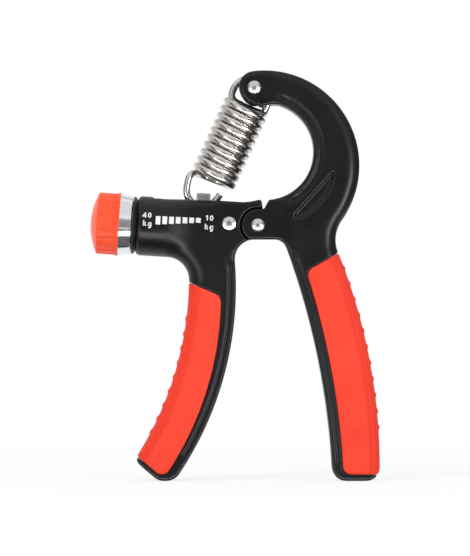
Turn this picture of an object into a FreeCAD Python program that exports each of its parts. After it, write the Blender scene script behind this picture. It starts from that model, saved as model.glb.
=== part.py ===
import FreeCAD, Part
import math
import os

# Adjustable hand grip strengthener: two handles hinged at a rivet, held apart by a tension
# spring whose lower hook is moved along the barrel by a knob, screw and nut.
# Sizes in millimetres and degrees. The pivot is the working origin: X to the right, Z up,
# Y into the object. The left handle is drawn with its barrel level and then tilted.

sizes = {
    # overall
    "frameDepth": 18.0,
    "padDepth": 20.5,
    "coreDepth": 13.0,
    "padWall": 3.2,
    "footDrop": 99.5,
    "barrelTilt": 3.6,
    "edgeRound": 5.0,
    "rimRound": 1.0,
    "padFootGap": 2.5,
    # hinge
    "hubRadius": 6.6,
    "hubGap": 0.35,
    "hubRound": 1.2,
    "archDrop": 5.5,
    "archRound": 4.7,
    "tongueDepth": 7.0,
    "tongueGap": 0.45,
    "washerThick": 0.3,
    "washerRadius": 5.2,
    "sleeveRadius": 3.0,
    "rivetRadius": 2.0,
    "rivetHeadRadius": 2.55,
    "rivetHeadHeight": 1.1,
    "runningGap": 0.05,
    # bow arm of the right handle
    "bowX": 2.6,
    "bowZ": 23.3,
    "bowRadius": 37.0,
    "voidX": 2.8,
    "voidZ": 28.8,
    "voidRadius": 18.9,
    "noseRadius": 5.9,
    "noseRound": 1.6,
    "bowLean": 1.5,
    "elbowRound": 13.0,
    "shoulderX": 4.0,
    "shoulderZ": 9.4,
    "shoulderLean": 62.0,
    "underNoseLean": 70.0,
    "pinX": -1.4,
    "pinZ": 53.6,
    "rimWidth": 1.7,
    "rimGroove": 1.3,
    "bowGroove": 2.3,
    "bowGrooveLow": -62.0,
    "bowGrooveHigh": 74.0,
    "rimDepth": 0.7,
    "leafTipX": 29.8,
    "leafTipZ": 20.4,
    "leafRootX": 14.3,
    "leafRootZ": 2.0,
    "leafBow": 3.2,
    "leafTipRound": 0.5,
    "leafRootRound": 1.3,
    "pocketDepth": 1.2,
    # spring
    "wireDiameter": 2.3,
    "wireSides": 8,
    "coilRadius": 7.9,
    "coilPitch": 3.1,
    "coilTurns": 10.5,
    "coilLean": 24.5,
    "coilDrop": 7.42,
    "coilAside": 0.15,
    "coilEndRadius": 7.4,
    "coilStartAngle": 22.0,
    "hookRadius": 6.5,
    "hookStart": 168.0,
    "hookEnd": 325.0,
    "hookLead": 2.6,
    "hookTail": 2.3,
    "loopRadius": 6.8,
    "loopGap": 0.1,
    "loopAngle": 190.0,
    "loopTail": 1.2,
    "loopBendRoom": 2.5,
    "noseSlotGap": 0.35,
    "noseSlotSwing": 0.45,
    "springPinRadius": 2.0,
    "springPinHead": 2.6,
    "pressGap": 0.02,
    "nutHookX": -21.4,
    "nutHookZ": 7.5,
    # right leg
    "rightInnerTopX": 12.0,
    "rightInnerFootX": 28.7,
    "rightInnerBow": 2.8,
    "rightOuterTopX": 31.5,
    "rightOuterFootX": 47.5,
    "rightOuterBow": 3.7,
    "legTopDrop": 11.0,
    "legFootDrop": 90.6,
    "footRound": 5.4,
    "rightRim": 4.1,
    "padRound": 3.2,
    "padTopSlope": 29.5,
    "padTopRise": 0.4,
    # left leg, in the frame of the level barrel
    "leftArchRound": 7.6,
    "leftInnerEdge": -6.7,
    "leftInnerZ": -33.0,
    "leftInnerRadius": 130.0,
    "leftOuterEdge": -25.3,
    "leftOuterZ": -30.0,
    "leftOuterRadius": 130.0,
    "legBarrelRound": 9.0,
    "legBarrelEdge": 7.0,
    "topRound": 1.0,
    "lipReach": 0.75,
    "lipHeight": 10.4,
    "lipSlope": 20.0,
    "lipSideX": 1.37,
    "lipSideZ": 7.43,
    "lipSideLean": 12.0,
    "lipFootRound": 0.8,
    "saddleRound": 20.0,
    "footSlant": 40.0,
    "footSlantX": -43.8,
    "footSlantZ": -95.2,
    "heelRound": 6.0,
    "toeRound": 5.0,
    "toeEdgeRound": 2.0,
    "leftFootWall": 2.0,
    "leftRim": 5.5,
    "leftRimSag": 3.0,
    "leftPadTopX": -25.15,
    "leftPadTopZ": -23.93,
    "leftPadTopAngle": -19.0,
    "leftPadRound": 3.9,
    "leftPadFootRound": 3.4,
    "leftGrooveTop": -14.0,
    "leftGrooveFoot": -92.0,
    # barrel with its screw drive
    "barrelAxis": -2.95,
    "barrelRadius": 11.6,
    "barrelMouth": -47.2,
    "barrelLoftStart": -35.0,
    "barrelLoftEnd": -15.0,
    "mouthRound": 1.8,
    "boreRadius": 7.2,
    "screwRadius": 3.0,
    "screwBoreEnd": -8.0,
    "slotStart": -41.2,
    "slotEnd": -14.0,
    "slotWidth": 6.0,
    "slotRound": 0.8,
    "retainerX": -11.2,
    "retainerRadius": 1.25,
    "retainerHead": 2.6,
    "retainerHeadHeight": 0.9,
    # nut that carries the hook, and the end bush
    "nutRadius": 7.12,
    "nutLeft": 4.2,
    "nutRight": 5.6,
    "lugWidth": 5.4,
    "lugDepth": 5.3,
    "lugTop": 11.2,
    "lugRound": 0.6,
    "wireHoleRadius": 1.75,
    "wireHoleZ": 6.4,
    "wireHoleX": -21.84,
    "bushFlange": 11.2,
    "bushFlangeStart": -48.7,
    "bushFlangeEnd": -47.5,
    "bushNeck": 10.0,
    "bushLip": 0.5,
    "bushTaper": 0.6,
    "bushPlugEnd": -42.6,
    "thrustOuter": 9.3,
    "thrustInner": 6.8,
    "thrustThick": 0.6,
    # knob
    "knobStart": -65.2,
    "knobEnd": -53.9,
    "knobRadius": 12.0,
    "knobDome": 2.4,
    "knobFlat": 1.5,
    "knobRound": 1.0,
    "knobLip": 0.3,
    "knobLipWidth": 1.0,
    "fluteCount": 24,
    "fluteRadius": 1.1,
    "fluteDepth": 0.4,
    "hubSpigot": 9.5,
    "hubStart": -56.0,
    "hubEnd": -49.5,
    "ringEnd": -49.0,
    "ringRadius": 11.6,
    "headStart": -58.0,
    "headEnd": -54.0,
    "headRadius": 5.0,
    "lockNutStart": -52.4,
    "lockNutEnd": -49.8,
    "lockNutRadius": 5.2,
    "lockRecess": 6.5,
    "screwEnd": -8.5,
    "endBevel": 0.4,
    "neckRadius": 1.5,
    "neckHalf": 1.35,
    # soft grips
    "padEdge": 4.5,
    "seamGap": 0.1,
    "ribRadius": 1.1,
    "ribProud": 0.5,
    "ribLength": 13.5,
    "rightRibs": 11,
    "rightRibPitch": 6.36,
    "rightRibTop": -16.6,
    "leftRibs": 9,
    "leftRibPitch": 5.8,
    "leftRibTop": -38.0,
}

doc = FreeCAD.newDocument("HandGrip")
sheet = doc.addObject("Spreadsheet::Sheet", "Sizes")
for row, (alias, value) in enumerate(sizes.items(), start=1):
    sheet.set("A%d" % row, alias)
    sheet.set("B%d" % row, str(value))
    sheet.setAlias("B%d" % row, alias)
doc.recompute()


def size(alias):
    return float(sheet.get(alias))


# Outlines are closed chains of circles and straight lines, walked anticlockwise as seen from
# the front. Every corner between two of them is rounded, so that each edge runs on smoothly.


def disc(x, z, radius):
    # an edge that bulges out of the material
    return {"kind": "circle", "x": x, "z": z, "radius": radius, "out": 1}


def hollow(x, z, radius):
    # an edge that curves round a space
    return {"kind": "circle", "x": x, "z": z, "radius": radius, "out": -1}


def line(x, z, degrees):
    # a straight edge through a point, walked in this direction, material on its left
    angle = math.radians(degrees)
    return {"kind": "line", "x": x, "z": z, "u": math.cos(angle), "w": math.sin(angle)}


def bowedEdge(top, foot, bow, out):
    # circle through two points that bows to the +X side (seen with the top point above)
    dx = foot[0] - top[0]
    dz = foot[1] - top[1]
    chord = math.hypot(dx, dz)
    radius = chord * chord / 8 / bow + bow / 2
    back = radius - bow
    x = (top[0] + foot[0]) / 2 + dz / chord * back
    z = (top[1] + foot[1]) / 2 - dx / chord * back
    return {"kind": "circle", "x": x, "z": z, "radius": radius, "out": out}


def grown(edge, gap):
    # the same edge moved out of the material by a gap, or into it by a negative one
    moved = dict(edge)
    if edge["kind"] == "circle":
        moved["radius"] = edge["radius"] + gap * edge["out"]
    else:
        moved["x"] = edge["x"] + edge["w"] * gap
        moved["z"] = edge["z"] - edge["u"] * gap
    return moved


def crossings(first, second):
    if first["kind"] == "line" and second["kind"] == "line":
        turn = first["u"] * second["w"] - first["w"] * second["u"]
        dx = second["x"] - first["x"]
        dz = second["z"] - first["z"]
        along = (dx * second["w"] - dz * second["u"]) / turn
        return [(first["x"] + along * first["u"], first["z"] + along * first["w"])]
    if first["kind"] == "circle" and second["kind"] == "line":
        return crossings(second, first)
    if first["kind"] == "line":
        dx = second["x"] - first["x"]
        dz = second["z"] - first["z"]
        along = dx * first["u"] + dz * first["w"]
        side = math.sqrt(second["radius"] ** 2 - (dx * first["w"] - dz * first["u"]) ** 2)
        return [
            (first["x"] + t * first["u"], first["z"] + t * first["w"])
            for t in (along - side, along + side)
        ]
    dx = second["x"] - first["x"]
    dz = second["z"] - first["z"]
    apart = math.hypot(dx, dz)
    along = (first["radius"] ** 2 - second["radius"] ** 2 + apart**2) / 2 / apart
    side = math.sqrt(max(first["radius"] ** 2 - along**2, 0.0))
    midX = first["x"] + dx / apart * along
    midZ = first["z"] + dz / apart * along
    return [
        (midX - dz / apart * t, midZ + dx / apart * t)
        for t in (-side, side)
    ]


def nearest(points, hint):
    return min(points, key=lambda p: math.hypot(p[0] - hint[0], p[1] - hint[1]))


def footOn(edge, point):
    # the point of an edge that lies nearest to a point
    if edge["kind"] == "line":
        along = (point[0] - edge["x"]) * edge["u"] + (point[1] - edge["z"]) * edge["w"]
        return (edge["x"] + along * edge["u"], edge["z"] + along * edge["w"])
    dx = point[0] - edge["x"]
    dz = point[1] - edge["z"]
    far = math.hypot(dx, dz)
    return (edge["x"] + dx / far * edge["radius"], edge["z"] + dz / far * edge["radius"])


def touchPoint(first, second):
    # where two edges that are tangent to each other meet
    if first["kind"] == "line":
        return footOn(first, (second["x"], second["z"]))
    if second["kind"] == "line":
        return footOn(second, (first["x"], first["z"]))
    small, large = sorted((first, second), key=lambda edge: edge["radius"])
    return footOn(large, (small["x"], small["z"]))


def corner(first, second, hint, radius, convex):
    # where an outline leaves one edge and joins the next, with the arc between
    if hint is None:
        meet = touchPoint(first, second)
        return {"leave": meet, "join": meet, "arc": None}
    if radius == 0:
        meet = nearest(crossings(first, second), hint)
        return {"leave": meet, "join": meet, "arc": None}
    shift = -radius if convex else radius
    centre = nearest(crossings(grown(first, shift), grown(second, shift)), hint)
    arc = {"kind": "circle", "x": centre[0], "z": centre[1], "radius": radius}
    arc["out"] = 1 if convex else -1
    return {"leave": footOn(first, centre), "join": footOn(second, centre), "arc": arc}


def cornerDisc(first, second, hint, radius):
    # the round of a convex corner, as an edge of its own
    centre = nearest(crossings(grown(first, -radius), grown(second, -radius)), hint)
    return disc(centre[0], centre[1], radius)


def piece(edge, start, end):
    # one arc or line of an outline, in sketch coordinates
    up = FreeCAD.Vector(0, 0, 1)
    if edge["kind"] == "line":
        a = FreeCAD.Vector(start[0], start[1], 0)
        b = FreeCAD.Vector(end[0], end[1], 0)
        return Part.LineSegment(a, b)
    centre = FreeCAD.Vector(edge["x"], edge["z"], 0)
    circle = Part.Circle(centre, up, edge["radius"])
    a = math.atan2(start[1] - edge["z"], start[0] - edge["x"])
    b = math.atan2(end[1] - edge["z"], end[0] - edge["x"])
    if edge["out"] < 0:
        a, b = b, a
    if b <= a:
        b += 2 * math.pi
    return Part.ArcOfCircle(circle, a, b)


def outline(*chain):
    # chain: edge, (hint, radius, convex), edge, (hint, radius, convex), ... back to the first
    edges = chain[0::2]
    turns = chain[1::2]
    corners = []
    for i, (hint, radius, convex) in enumerate(turns):
        corners.append(corner(edges[i], edges[(i + 1) % len(edges)], hint, radius, convex))
    shapes = []
    for i, edge in enumerate(edges):
        before = corners[i - 1]
        after = corners[i]
        if math.dist(before["join"], after["leave"]) > 1e-6:
            shapes.append(piece(edge, before["join"], after["leave"]))
        if after["arc"]:
            shapes.append(piece(after["arc"], after["leave"], after["join"]))
    return shapes


def originPlane(body, role):
    return [f for f in body.Origin.OriginFeatures if f.Role == role][0]


def newBody(label):
    body = doc.addObject("PartDesign::Body", label)
    body.Label = label
    return body


def frontSketch(body, name, shapes):
    # a sketch in the plane of the photograph: sketch X is X, sketch Y is Z
    sketch = body.newObject("Sketcher::SketchObject", name)
    sketch.AttachmentSupport = (originPlane(body, "XZ_Plane"), [""])
    sketch.MapMode = "FlatFace"
    for shape in shapes:
        sketch.addGeometry(shape, False)
    return sketch


def circle(x, z, radius):
    return Part.Circle(FreeCAD.Vector(x, z, 0), FreeCAD.Vector(0, 0, 1), radius)


def midPad(body, name, sketch, length):
    pad = body.newObject("PartDesign::Pad", name)
    pad.Profile = sketch
    pad.SideType = "Symmetric"
    pad.setExpression("Length", length)
    return pad


def midPocket(body, name, sketch, length):
    pocket = body.newObject("PartDesign::Pocket", name)
    pocket.Profile = sketch
    pocket.SideType = "Symmetric"
    pocket.setExpression("Length", length)
    return pocket


def edgesWhere(shape, test):
    return ["Edge%d" % (i + 1) for i, edge in enumerate(shape.Edges) if test(edge)]


def fillet(body, name, edges, radius):
    # rounds edges of the body's tip
    base = body.Tip
    feature = body.newObject("PartDesign::Fillet", name)
    feature.Base = (base, edges)
    feature.setExpression("Radius", radius)
    doc.recompute()
    return feature


def onFace(edge, y):
    # does an edge lie in the front or back face at this depth?
    box = edge.BoundBox
    return box.YLength < 1e-4 and abs(abs(box.YMin) - y) < 1e-4


def along(edge, curve, tolerance=1e-3):
    # does an edge of a solid follow a circle or line of the outline?
    for u in (0.0, 0.5, 1.0):
        p = edge.valueAt(edge.FirstParameter + u * (edge.LastParameter - edge.FirstParameter))
        if curve["kind"] == "circle":
            gap = math.hypot(p.x - curve["x"], p.z - curve["z"]) - curve["radius"]
        else:
            gap = (p.x - curve["x"]) * curve["w"] - (p.z - curve["z"]) * curve["u"]
        if abs(gap) > tolerance:
            return False
    return True


# Features that several pieces share


def faceRecess(body, name, shapes, level):
    # pocket from a level above the mid-plane out through the front face, and the same behind
    sketch = frontSketch(body, name + "_outline", shapes)
    sketch.setExpression("AttachmentOffset.Base.z", level)
    pocket = body.newObject("PartDesign::Pocket", name)
    pocket.Profile = sketch
    pocket.Type = "ThroughAll"
    pocket.Reversed = True
    doc.recompute()
    mirrored = body.newObject("PartDesign::Mirrored", name + "_behind")
    mirrored.Originals = [pocket]
    mirrored.MirrorPlane = (originPlane(body, "XZ_Plane"), [""])
    body.Tip = mirrored
    doc.recompute()
    return mirrored


def roundedCorner(body, name, edge, radius, low, high, depth="frameDepth"):
    # rounds the front and back corners of an arc of the outline: a groove turned about its centre
    sketch = body.newObject("Sketcher::SketchObject", name + "_profile")
    sketch.AttachmentSupport = (originPlane(body, "XY_Plane"), [""])
    sketch.MapMode = "FlatFace"
    centre = FreeCAD.Vector(edge["x"], 0, edge["z"])
    turn = FreeCAD.Rotation(FreeCAD.Vector(0, 1, 0), -low)
    sketch.AttachmentOffset = FreeCAD.Placement(centre, turn)
    face = size(depth) / 2
    rimAt = edge["radius"]
    into = rimAt - edge["out"] * radius
    clear = rimAt + edge["out"]
    middle = FreeCAD.Vector(into, face - radius, 0)
    diagonal = FreeCAD.Vector(edge["out"], 1, 0) * (radius / math.sqrt(2))
    points = [(rimAt, face - radius), (clear, face - radius), (clear, face + 1), (into, face + 1)]
    points.append((into, face))
    corners = [FreeCAD.Vector(x, y, 0) for x, y in points]
    for a, b in zip(corners, corners[1:]):
        sketch.addGeometry(Part.LineSegment(a, b), False)
    sketch.addGeometry(Part.Arc(corners[-1], middle + diagonal, corners[0]), False)
    cut = body.newObject("PartDesign::Groove", name)
    cut.Profile = sketch
    cut.ReferenceAxis = (sketch, ["V_Axis"])
    cut.Angle = high - low
    cut.Reversed = True
    doc.recompute()
    mirrored = body.newObject("PartDesign::Mirrored", name + "_behind")
    mirrored.Originals = [cut]
    mirrored.MirrorPlane = (originPlane(body, "XZ_Plane"), [""])
    body.Tip = mirrored
    doc.recompute()


def polygon(points, arcs=None):
    # closed outline through points; the side that starts at an index in arcs bends through its point
    corners = [FreeCAD.Vector(x, y, 0) for x, y in points]
    sides = []
    for i, start in enumerate(corners):
        end = corners[(i + 1) % len(corners)]
        if arcs and i in arcs:
            middle = FreeCAD.Vector(arcs[i][0], arcs[i][1], 0)
            sides.append(Part.Arc(start, middle, end))
        else:
            sides.append(Part.LineSegment(start, end))
    return sides


def turned(body, name, plane, offset, axis, shapes, cut=False):
    # solid or groove of revolution: profile in a plane, turned about one of its sketch axes
    sketch = body.newObject("Sketcher::SketchObject", name + "_profile")
    sketch.AttachmentSupport = (originPlane(body, plane), [""])
    sketch.MapMode = "FlatFace"
    sketch.AttachmentOffset = FreeCAD.Placement(FreeCAD.Vector(*offset), FreeCAD.Rotation())
    for shape in shapes:
        sketch.addGeometry(shape, False)
    kind = "PartDesign::Groove" if cut else "PartDesign::Revolution"
    feature = body.newObject(kind, name)
    feature.Profile = sketch
    feature.ReferenceAxis = (sketch, [axis])
    feature.Angle = 360
    doc.recompute()
    return feature


def alongBarrel(body, name, points, arcs=None, cut=False):
    # points are (along the barrel, distance from its axis)
    return turned(body, name, "XZ_Plane", (0, axisZ, 0), "H_Axis", polygon(points, arcs), cut)


def acrossAt(body, name, x, z, points, arcs=None):
    # points are (distance from the axis, depth); the axis runs from front to back
    return turned(body, name, "XY_Plane", (x, 0, z), "V_Axis", polygon(points, arcs))


def endSketch(body, name, x, shapes):
    # sketch across the barrel at a place along it, its origin on the barrel's axis
    sketch = body.newObject("Sketcher::SketchObject", name)
    sketch.AttachmentSupport = (originPlane(body, "YZ_Plane"), [""])
    sketch.MapMode = "FlatFace"
    sketch.AttachmentOffset = FreeCAD.Placement(FreeCAD.Vector(0, axisZ, x), FreeCAD.Rotation())
    for shape in shapes:
        sketch.addGeometry(shape, False)
    return sketch


def rivet(label, x, z, radius, headRadius, headHeight, halfLength):
    # pin with a low domed head at both ends
    body = newBody(label)
    top = halfLength + headHeight
    flat = headRadius * 0.2
    bulge = (headRadius * 0.7, halfLength + headHeight * 0.72)
    points = [(0, -top), (flat, -top), (headRadius, -halfLength), (radius, -halfLength)]
    points += [(radius, halfLength), (headRadius, halfLength), (flat, top), (0, top)]
    acrossAt(body, label + "_turned", x, z, points, {1: (bulge[0], -bulge[1]), 5: bulge})
    return body


def hexagon(radius):
    # six sides round the barrel axis, in an end sketch
    corners = []
    for i in range(6):
        turn = math.radians(60 * i)
        corners.append((radius * math.cos(turn), radius * math.sin(turn)))
    return polygon(corners)


def crossHole(body, name, x, z, radius):
    # round hole from front to back
    sketch = frontSketch(body, name + "_circle", [circle(x, z, radius)])
    pocket = body.newObject("PartDesign::Pocket", name)
    pocket.Profile = sketch
    pocket.Type = "ThroughAll"
    pocket.SideType = "Symmetric"
    doc.recompute()
    return pocket


def band(edge, start, width, low, high):
    # strip that follows an arc inside the material, from one angle to another, with round ends
    near = edge["radius"] - edge["out"] * start
    far = edge["radius"] - edge["out"] * (start + width)
    inner = min(near, far)
    outer = max(near, far)
    a = math.radians(low)
    b = math.radians(high)
    middle = (inner + outer) / 2
    up = FreeCAD.Vector(0, 0, 1)
    centre = FreeCAD.Vector(edge["x"], edge["z"], 0)
    lowEnd = FreeCAD.Vector(edge["x"] + middle * math.cos(a), edge["z"] + middle * math.sin(a), 0)
    highEnd = FreeCAD.Vector(edge["x"] + middle * math.cos(b), edge["z"] + middle * math.sin(b), 0)
    return [
        Part.ArcOfCircle(Part.Circle(centre, up, outer), a, b),
        Part.ArcOfCircle(Part.Circle(highEnd, up, width / 2), b, b + math.pi),
        Part.ArcOfCircle(Part.Circle(centre, up, inner), a, b),
        Part.ArcOfCircle(Part.Circle(lowEnd, up, width / 2), a + math.pi, a + 2 * math.pi),
    ]


def angleAt(edge, z):
    # angle at which the right side of a circle passes a height
    return math.degrees(math.asin((z - edge["z"]) / edge["radius"]))


# Right handle: bow arm with the slotted nose, fork cheeks and leg

half = size("frameDepth") / 2
bow = disc(size("bowX"), size("bowZ"), size("bowRadius"))
void = hollow(size("voidX"), size("voidZ"), size("voidRadius"))
pinX = size("pinX")
pinZ = size("pinZ")
towards = math.atan2(pinZ - bow["z"], pinX - bow["x"])
noseReach = bow["radius"] - size("noseRadius")
nose = disc(
    bow["x"] + noseReach * math.cos(towards),
    bow["z"] + noseReach * math.sin(towards),
    size("noseRadius"),
)
underNose = line(pinX + 2, nose["z"] - size("noseRadius"), -size("underNoseLean"))
shoulder = line(size("shoulderX"), size("shoulderZ"), size("shoulderLean") - 180)
hub = disc(0, 0, size("hubRadius"))
arch = line(0, -size("archDrop"), 0)
legTop = -size("legTopDrop")
legFoot = -size("legFootDrop")
rightInner = bowedEdge(
    (size("rightInnerTopX"), legTop), (size("rightInnerFootX"), legFoot), size("rightInnerBow"), -1
)
rightOuter = bowedEdge(
    (size("rightOuterTopX"), legTop), (size("rightOuterFootX"), legFoot), size("rightOuterBow"), 1
)
floorZ = -size("footDrop")
floor = line(0, floorZ, 0)
padTopZ = legTop + size("padTopRise")
rightPadTop = line(size("rightOuterTopX"), padTopZ, size("padTopSlope"))
rightSeatTop = line(size("rightOuterTopX"), padTopZ, size("padTopSlope") + 180)
rightPadBottom = line(0, floorZ + size("padFootGap"), 180)
rightCore = grown(rightOuter, -size("padWall"))
archRound = size("archRound")
footRound = size("footRound")
tangent = (None, 0, True)
rightToe = cornerDisc(floor, rightOuter, (43, -95), footRound)

rightOutline = outline(
    rightPadTop, ((31.5, -10.6), 0, True),
    rightOuter, ((45, -8), size("elbowRound"), False),
    bow, tangent,
    nose, ((pinX + 2, nose["z"] - 6), 0, True),
    underNose, ((pinX + 4, 47.5), 0, True),
    void, ((size("shoulderX") + 1, 9), 0, True),
    shoulder, ((3, 6), 0, True),
    hub, ((-4, -5.5), size("hubRound"), True),
    arch, ((9, -9), archRound, False),
    rightInner, ((33, -95), footRound, True),
    floor, tangent,
    rightToe, ((46.8, -97), 0, True),
    rightPadBottom, ((44.5, -96.5), 0, True),
    rightCore, ((28, -13), 0, True),
)
right = newBody("right_handle")
rightSketch = frontSketch(right, "right_outline", rightOutline)
midPad(right, "right_plate", rightSketch, "Sizes.frameDepth")
doc.recompute()
voidEdges = edgesWhere(right.Shape, lambda e: onFace(e, half) and along(e, void))
fillet(right, "right_void_round", voidEdges, "Sizes.rimRound")
innerEdges = edgesWhere(right.Shape, lambda e: onFace(e, half) and along(e, rightInner))
fillet(right, "right_inner_round", innerEdges, "Sizes.rimRound")
edgeRound = size("edgeRound")
elbow = corner(rightOuter, bow, (45, -8), size("elbowRound"), False)
bowStart = math.degrees(math.atan2(elbow["join"][1] - bow["z"], elbow["join"][0] - bow["x"]))
bowEnd = math.degrees(towards)
lean = size("bowLean")
leanCentre = (
    bow["x"] - lean * math.cos(math.radians(bowStart)),
    bow["z"] - lean * math.sin(math.radians(bowStart)),
)
leaning = disc(leanCentre[0], leanCentre[1], bow["radius"] + lean)
roundedCorner(right, "bow_corner", leaning, edgeRound, bowStart, bowEnd + 4)
elbowArc = elbow["arc"]
elbowHigh = math.degrees(math.atan2(bow["z"] - elbowArc["z"], bow["x"] - elbowArc["x"]))
elbowLow = math.degrees(math.atan2(rightOuter["z"] - elbowArc["z"], rightOuter["x"] - elbowArc["x"]))
roundedCorner(right, "elbow_corner", elbowArc, edgeRound, elbowHigh, elbowLow + 360)
legHigh = angleAt(rightOuter, elbow["leave"][1])
roundedCorner(right, "leg_corner", rightOuter, edgeRound, legHigh - 1.5, legHigh)
roundedCorner(right, "nose_corner", nose, size("noseRound"), bowEnd, 270)

# seat of the soft grip: the face steps down to the core
rightPadInner = grown(rightInner, -size("rightRim"))
padRound = size("padRound")
beyond = line(size("rightOuterFootX") + 5, 0, 90)
rightSeat = outline(
    line(0, rightPadBottom["z"], 0), ((50, -97), 0, True),
    beyond, ((50, 0), 0, True),
    rightSeatTop, ((21, -17), padRound, True),
    rightPadInner, ((36, -93), padRound, True),
)
faceRecess(right, "right_seat", rightSeat, "Sizes.coreDepth / 2")

# groove behind the bead that runs along the inside of the bow and of the leg
rim = size("rimWidth")
grooveLevel = "Sizes.frameDepth / 2 - Sizes.rimDepth"
bowGroove = band(void, rim, size("bowGroove"), size("bowGrooveLow"), size("bowGrooveHigh"))
faceRecess(right, "bow_groove", bowGroove, grooveLevel)
grooveFoot = angleAt(rightInner, legFoot - 2)
legGroove = band(rightInner, rim, size("rimGroove"), grooveFoot, angleAt(rightInner, legTop - 1))
faceRecess(right, "leg_groove", legGroove, grooveLevel)

# leaf-shaped hollow in the face of the bow
leafTip = (size("leafTipX"), size("leafTipZ"))
leafRoot = (size("leafRootX"), size("leafRootZ"))
leafBelly = bowedEdge(leafTip, leafRoot, size("leafBow"), 1)
leafAngle = math.degrees(math.atan2(leafRoot[1] - leafTip[1], leafRoot[0] - leafTip[0]))
leafLine = line(leafTip[0] - 0.6, leafTip[1] + 0.5, leafAngle - 2)
leaf = outline(
    leafBelly, (leafTip, size("leafTipRound"), True),
    leafLine, (leafRoot, size("leafRootRound"), True),
)
faceRecess(right, "leaf_hollow", leaf, "Sizes.frameDepth / 2 - Sizes.pocketDepth")

# slot between the cheeks for the tongue of the left handle
forkSketch = frontSketch(right, "fork_circle", [circle(0, 0, hub["radius"] + size("tongueGap"))])
midPocket(right, "fork_slot", forkSketch, "Sizes.tongueDepth + 2 * Sizes.tongueGap")

# slot in the nose for the spring's upper loop
loopRadius = size("loopRadius")
wire = size("wireDiameter") / 2
axisAngle = math.atan2(size("nutHookZ") - pinZ, size("nutHookX") - pinX)
loopDrop = loopRadius - wire - size("springPinRadius") - size("loopGap")
loopX = pinX + loopDrop * math.cos(axisAngle)
loopZ = pinZ + loopDrop * math.sin(axisAngle)
slotRadius = loopRadius + wire + size("noseSlotGap") + size("noseSlotSwing")
noseSketch = frontSketch(right, "nose_circle", [circle(loopX - 0.35, loopZ + 0.2, slotRadius)])
midPocket(right, "nose_slot", noseSketch, "Sizes.wireDiameter + 2 * Sizes.noseSlotGap")
crossHole(right, "pin_hole", pinX, pinZ, size("springPinRadius") + size("pressGap"))
crossHole(right, "rivet_hole", 0, 0, size("rivetRadius") + size("pressGap"))


# Left handle: barrel, tongue with the lip, leg and slanted foot

tilt = math.radians(size("barrelTilt"))


def level(x, z):
    # a point of the photograph's plane, seen from the level barrel
    return (x * math.cos(tilt) - z * math.sin(tilt), x * math.sin(tilt) + z * math.cos(tilt))


def levelLine(x, z, degrees):
    place = level(x, z)
    return line(place[0], place[1], degrees + size("barrelTilt"))


axisZ = size("barrelAxis")
barrelRadius = size("barrelRadius")
barrelTop = axisZ + barrelRadius
barrelBottom = axisZ - barrelRadius
loftStart = size("barrelLoftStart")
loftEnd = size("barrelLoftEnd")
innerRadius = size("leftInnerRadius")
outerRadius = size("leftOuterRadius")
leftInner = disc(size("leftInnerEdge") - innerRadius, size("leftInnerZ"), innerRadius)
leftOuter = hollow(size("leftOuterEdge") - outerRadius, size("leftOuterZ"), outerRadius)
leftCore = grown(leftOuter, -size("padWall"))
leftFloor = levelLine(0, floorZ, 0)
leftArch = levelLine(0, -size("archDrop"), 0)
slanted = levelLine(size("footSlantX"), size("footSlantZ"), -size("footSlant"))
lipSide = line(size("lipSideX"), size("lipSideZ"), size("lipSideLean") + 90)
lipTop = line(size("lipReach"), size("lipHeight"), size("lipSlope") + 180)
topLine = line(0, barrelTop, 180)
bellyLine = line(0, barrelBottom + 0.05, 0)
bellyCorner = corner(bellyLine, leftOuter, (-34, -23), size("legBarrelRound"), False)
bellyStart = line(bellyCorner["leave"][0] - 0.3, 0, 270)
leftPadTop = line(size("leftPadTopX"), size("leftPadTopZ"), size("leftPadTopAngle"))
leftSeatTop = line(size("leftPadTopX"), size("leftPadTopZ"), size("leftPadTopAngle") + 180)
footWall = grown(slanted, -size("leftFootWall"))
leftPadBottom = line(footWall["x"], footWall["z"], 180 - size("footSlant") + size("barrelTilt"))
leftSeatBottom = line(footWall["x"], footWall["z"], size("barrelTilt") - size("footSlant"))
leftOutline = outline(
    leftFloor, ((-32, -95), size("heelRound"), True),
    leftInner, ((-4, -10), size("leftArchRound"), False),
    leftArch, ((4, -5.5), size("hubRound"), True),
    hub, ((2, 6.5), size("lipFootRound"), False),
    lipSide, ((0.8, 10.4), 0, True),
    lipTop, ((-3, 28), size("saddleRound"), False),
    topLine, ((loftEnd, barrelTop), 0, True),
    line(loftEnd, 0, 270), ((loftEnd, -8), 0, False),
    line(0, -8, 180), ((-35, -8), 0, True),
    bellyStart, ((-35, -14.5), 0, True),
    bellyLine, ((-34, -23), size("legBarrelRound"), False),
    leftOuter, ((-25, -24), 0, True),
    leftPadTop, ((-22, -25), 0, False),
    leftCore, ((-34, -94), 0, False),
    leftPadBottom, ((-38, -96), 0, True),
    leftOuter, ((-36, -98), size("toeEdgeRound"), True),
    slanted, ((-34, -98), size("toeRound"), True),
)
left = newBody("left_handle")
leftSketch = frontSketch(left, "left_outline", leftOutline)
midPad(left, "left_plate", leftSketch, "Sizes.frameDepth")
doc.recompute()

leftInnerEdges = edgesWhere(left.Shape, lambda e: onFace(e, half) and along(e, leftInner))
fillet(left, "left_inner_round", leftInnerEdges, "Sizes.rimRound")
topEdges = edgesWhere(left.Shape, lambda e: onFace(e, half) and along(e, topLine))
fillet(left, "left_top_round", topEdges, "Sizes.topRound")
bellyArc = bellyCorner["arc"]
bellyEnd = bellyCorner["join"]
bellyLow = math.degrees(math.atan2(bellyEnd[1] - bellyArc["z"], bellyEnd[0] - bellyArc["x"]))
legBarrelEdge = size("legBarrelEdge")
roundedCorner(left, "belly_corner", bellyArc, legBarrelEdge, bellyLow - 7, 97)

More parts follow.
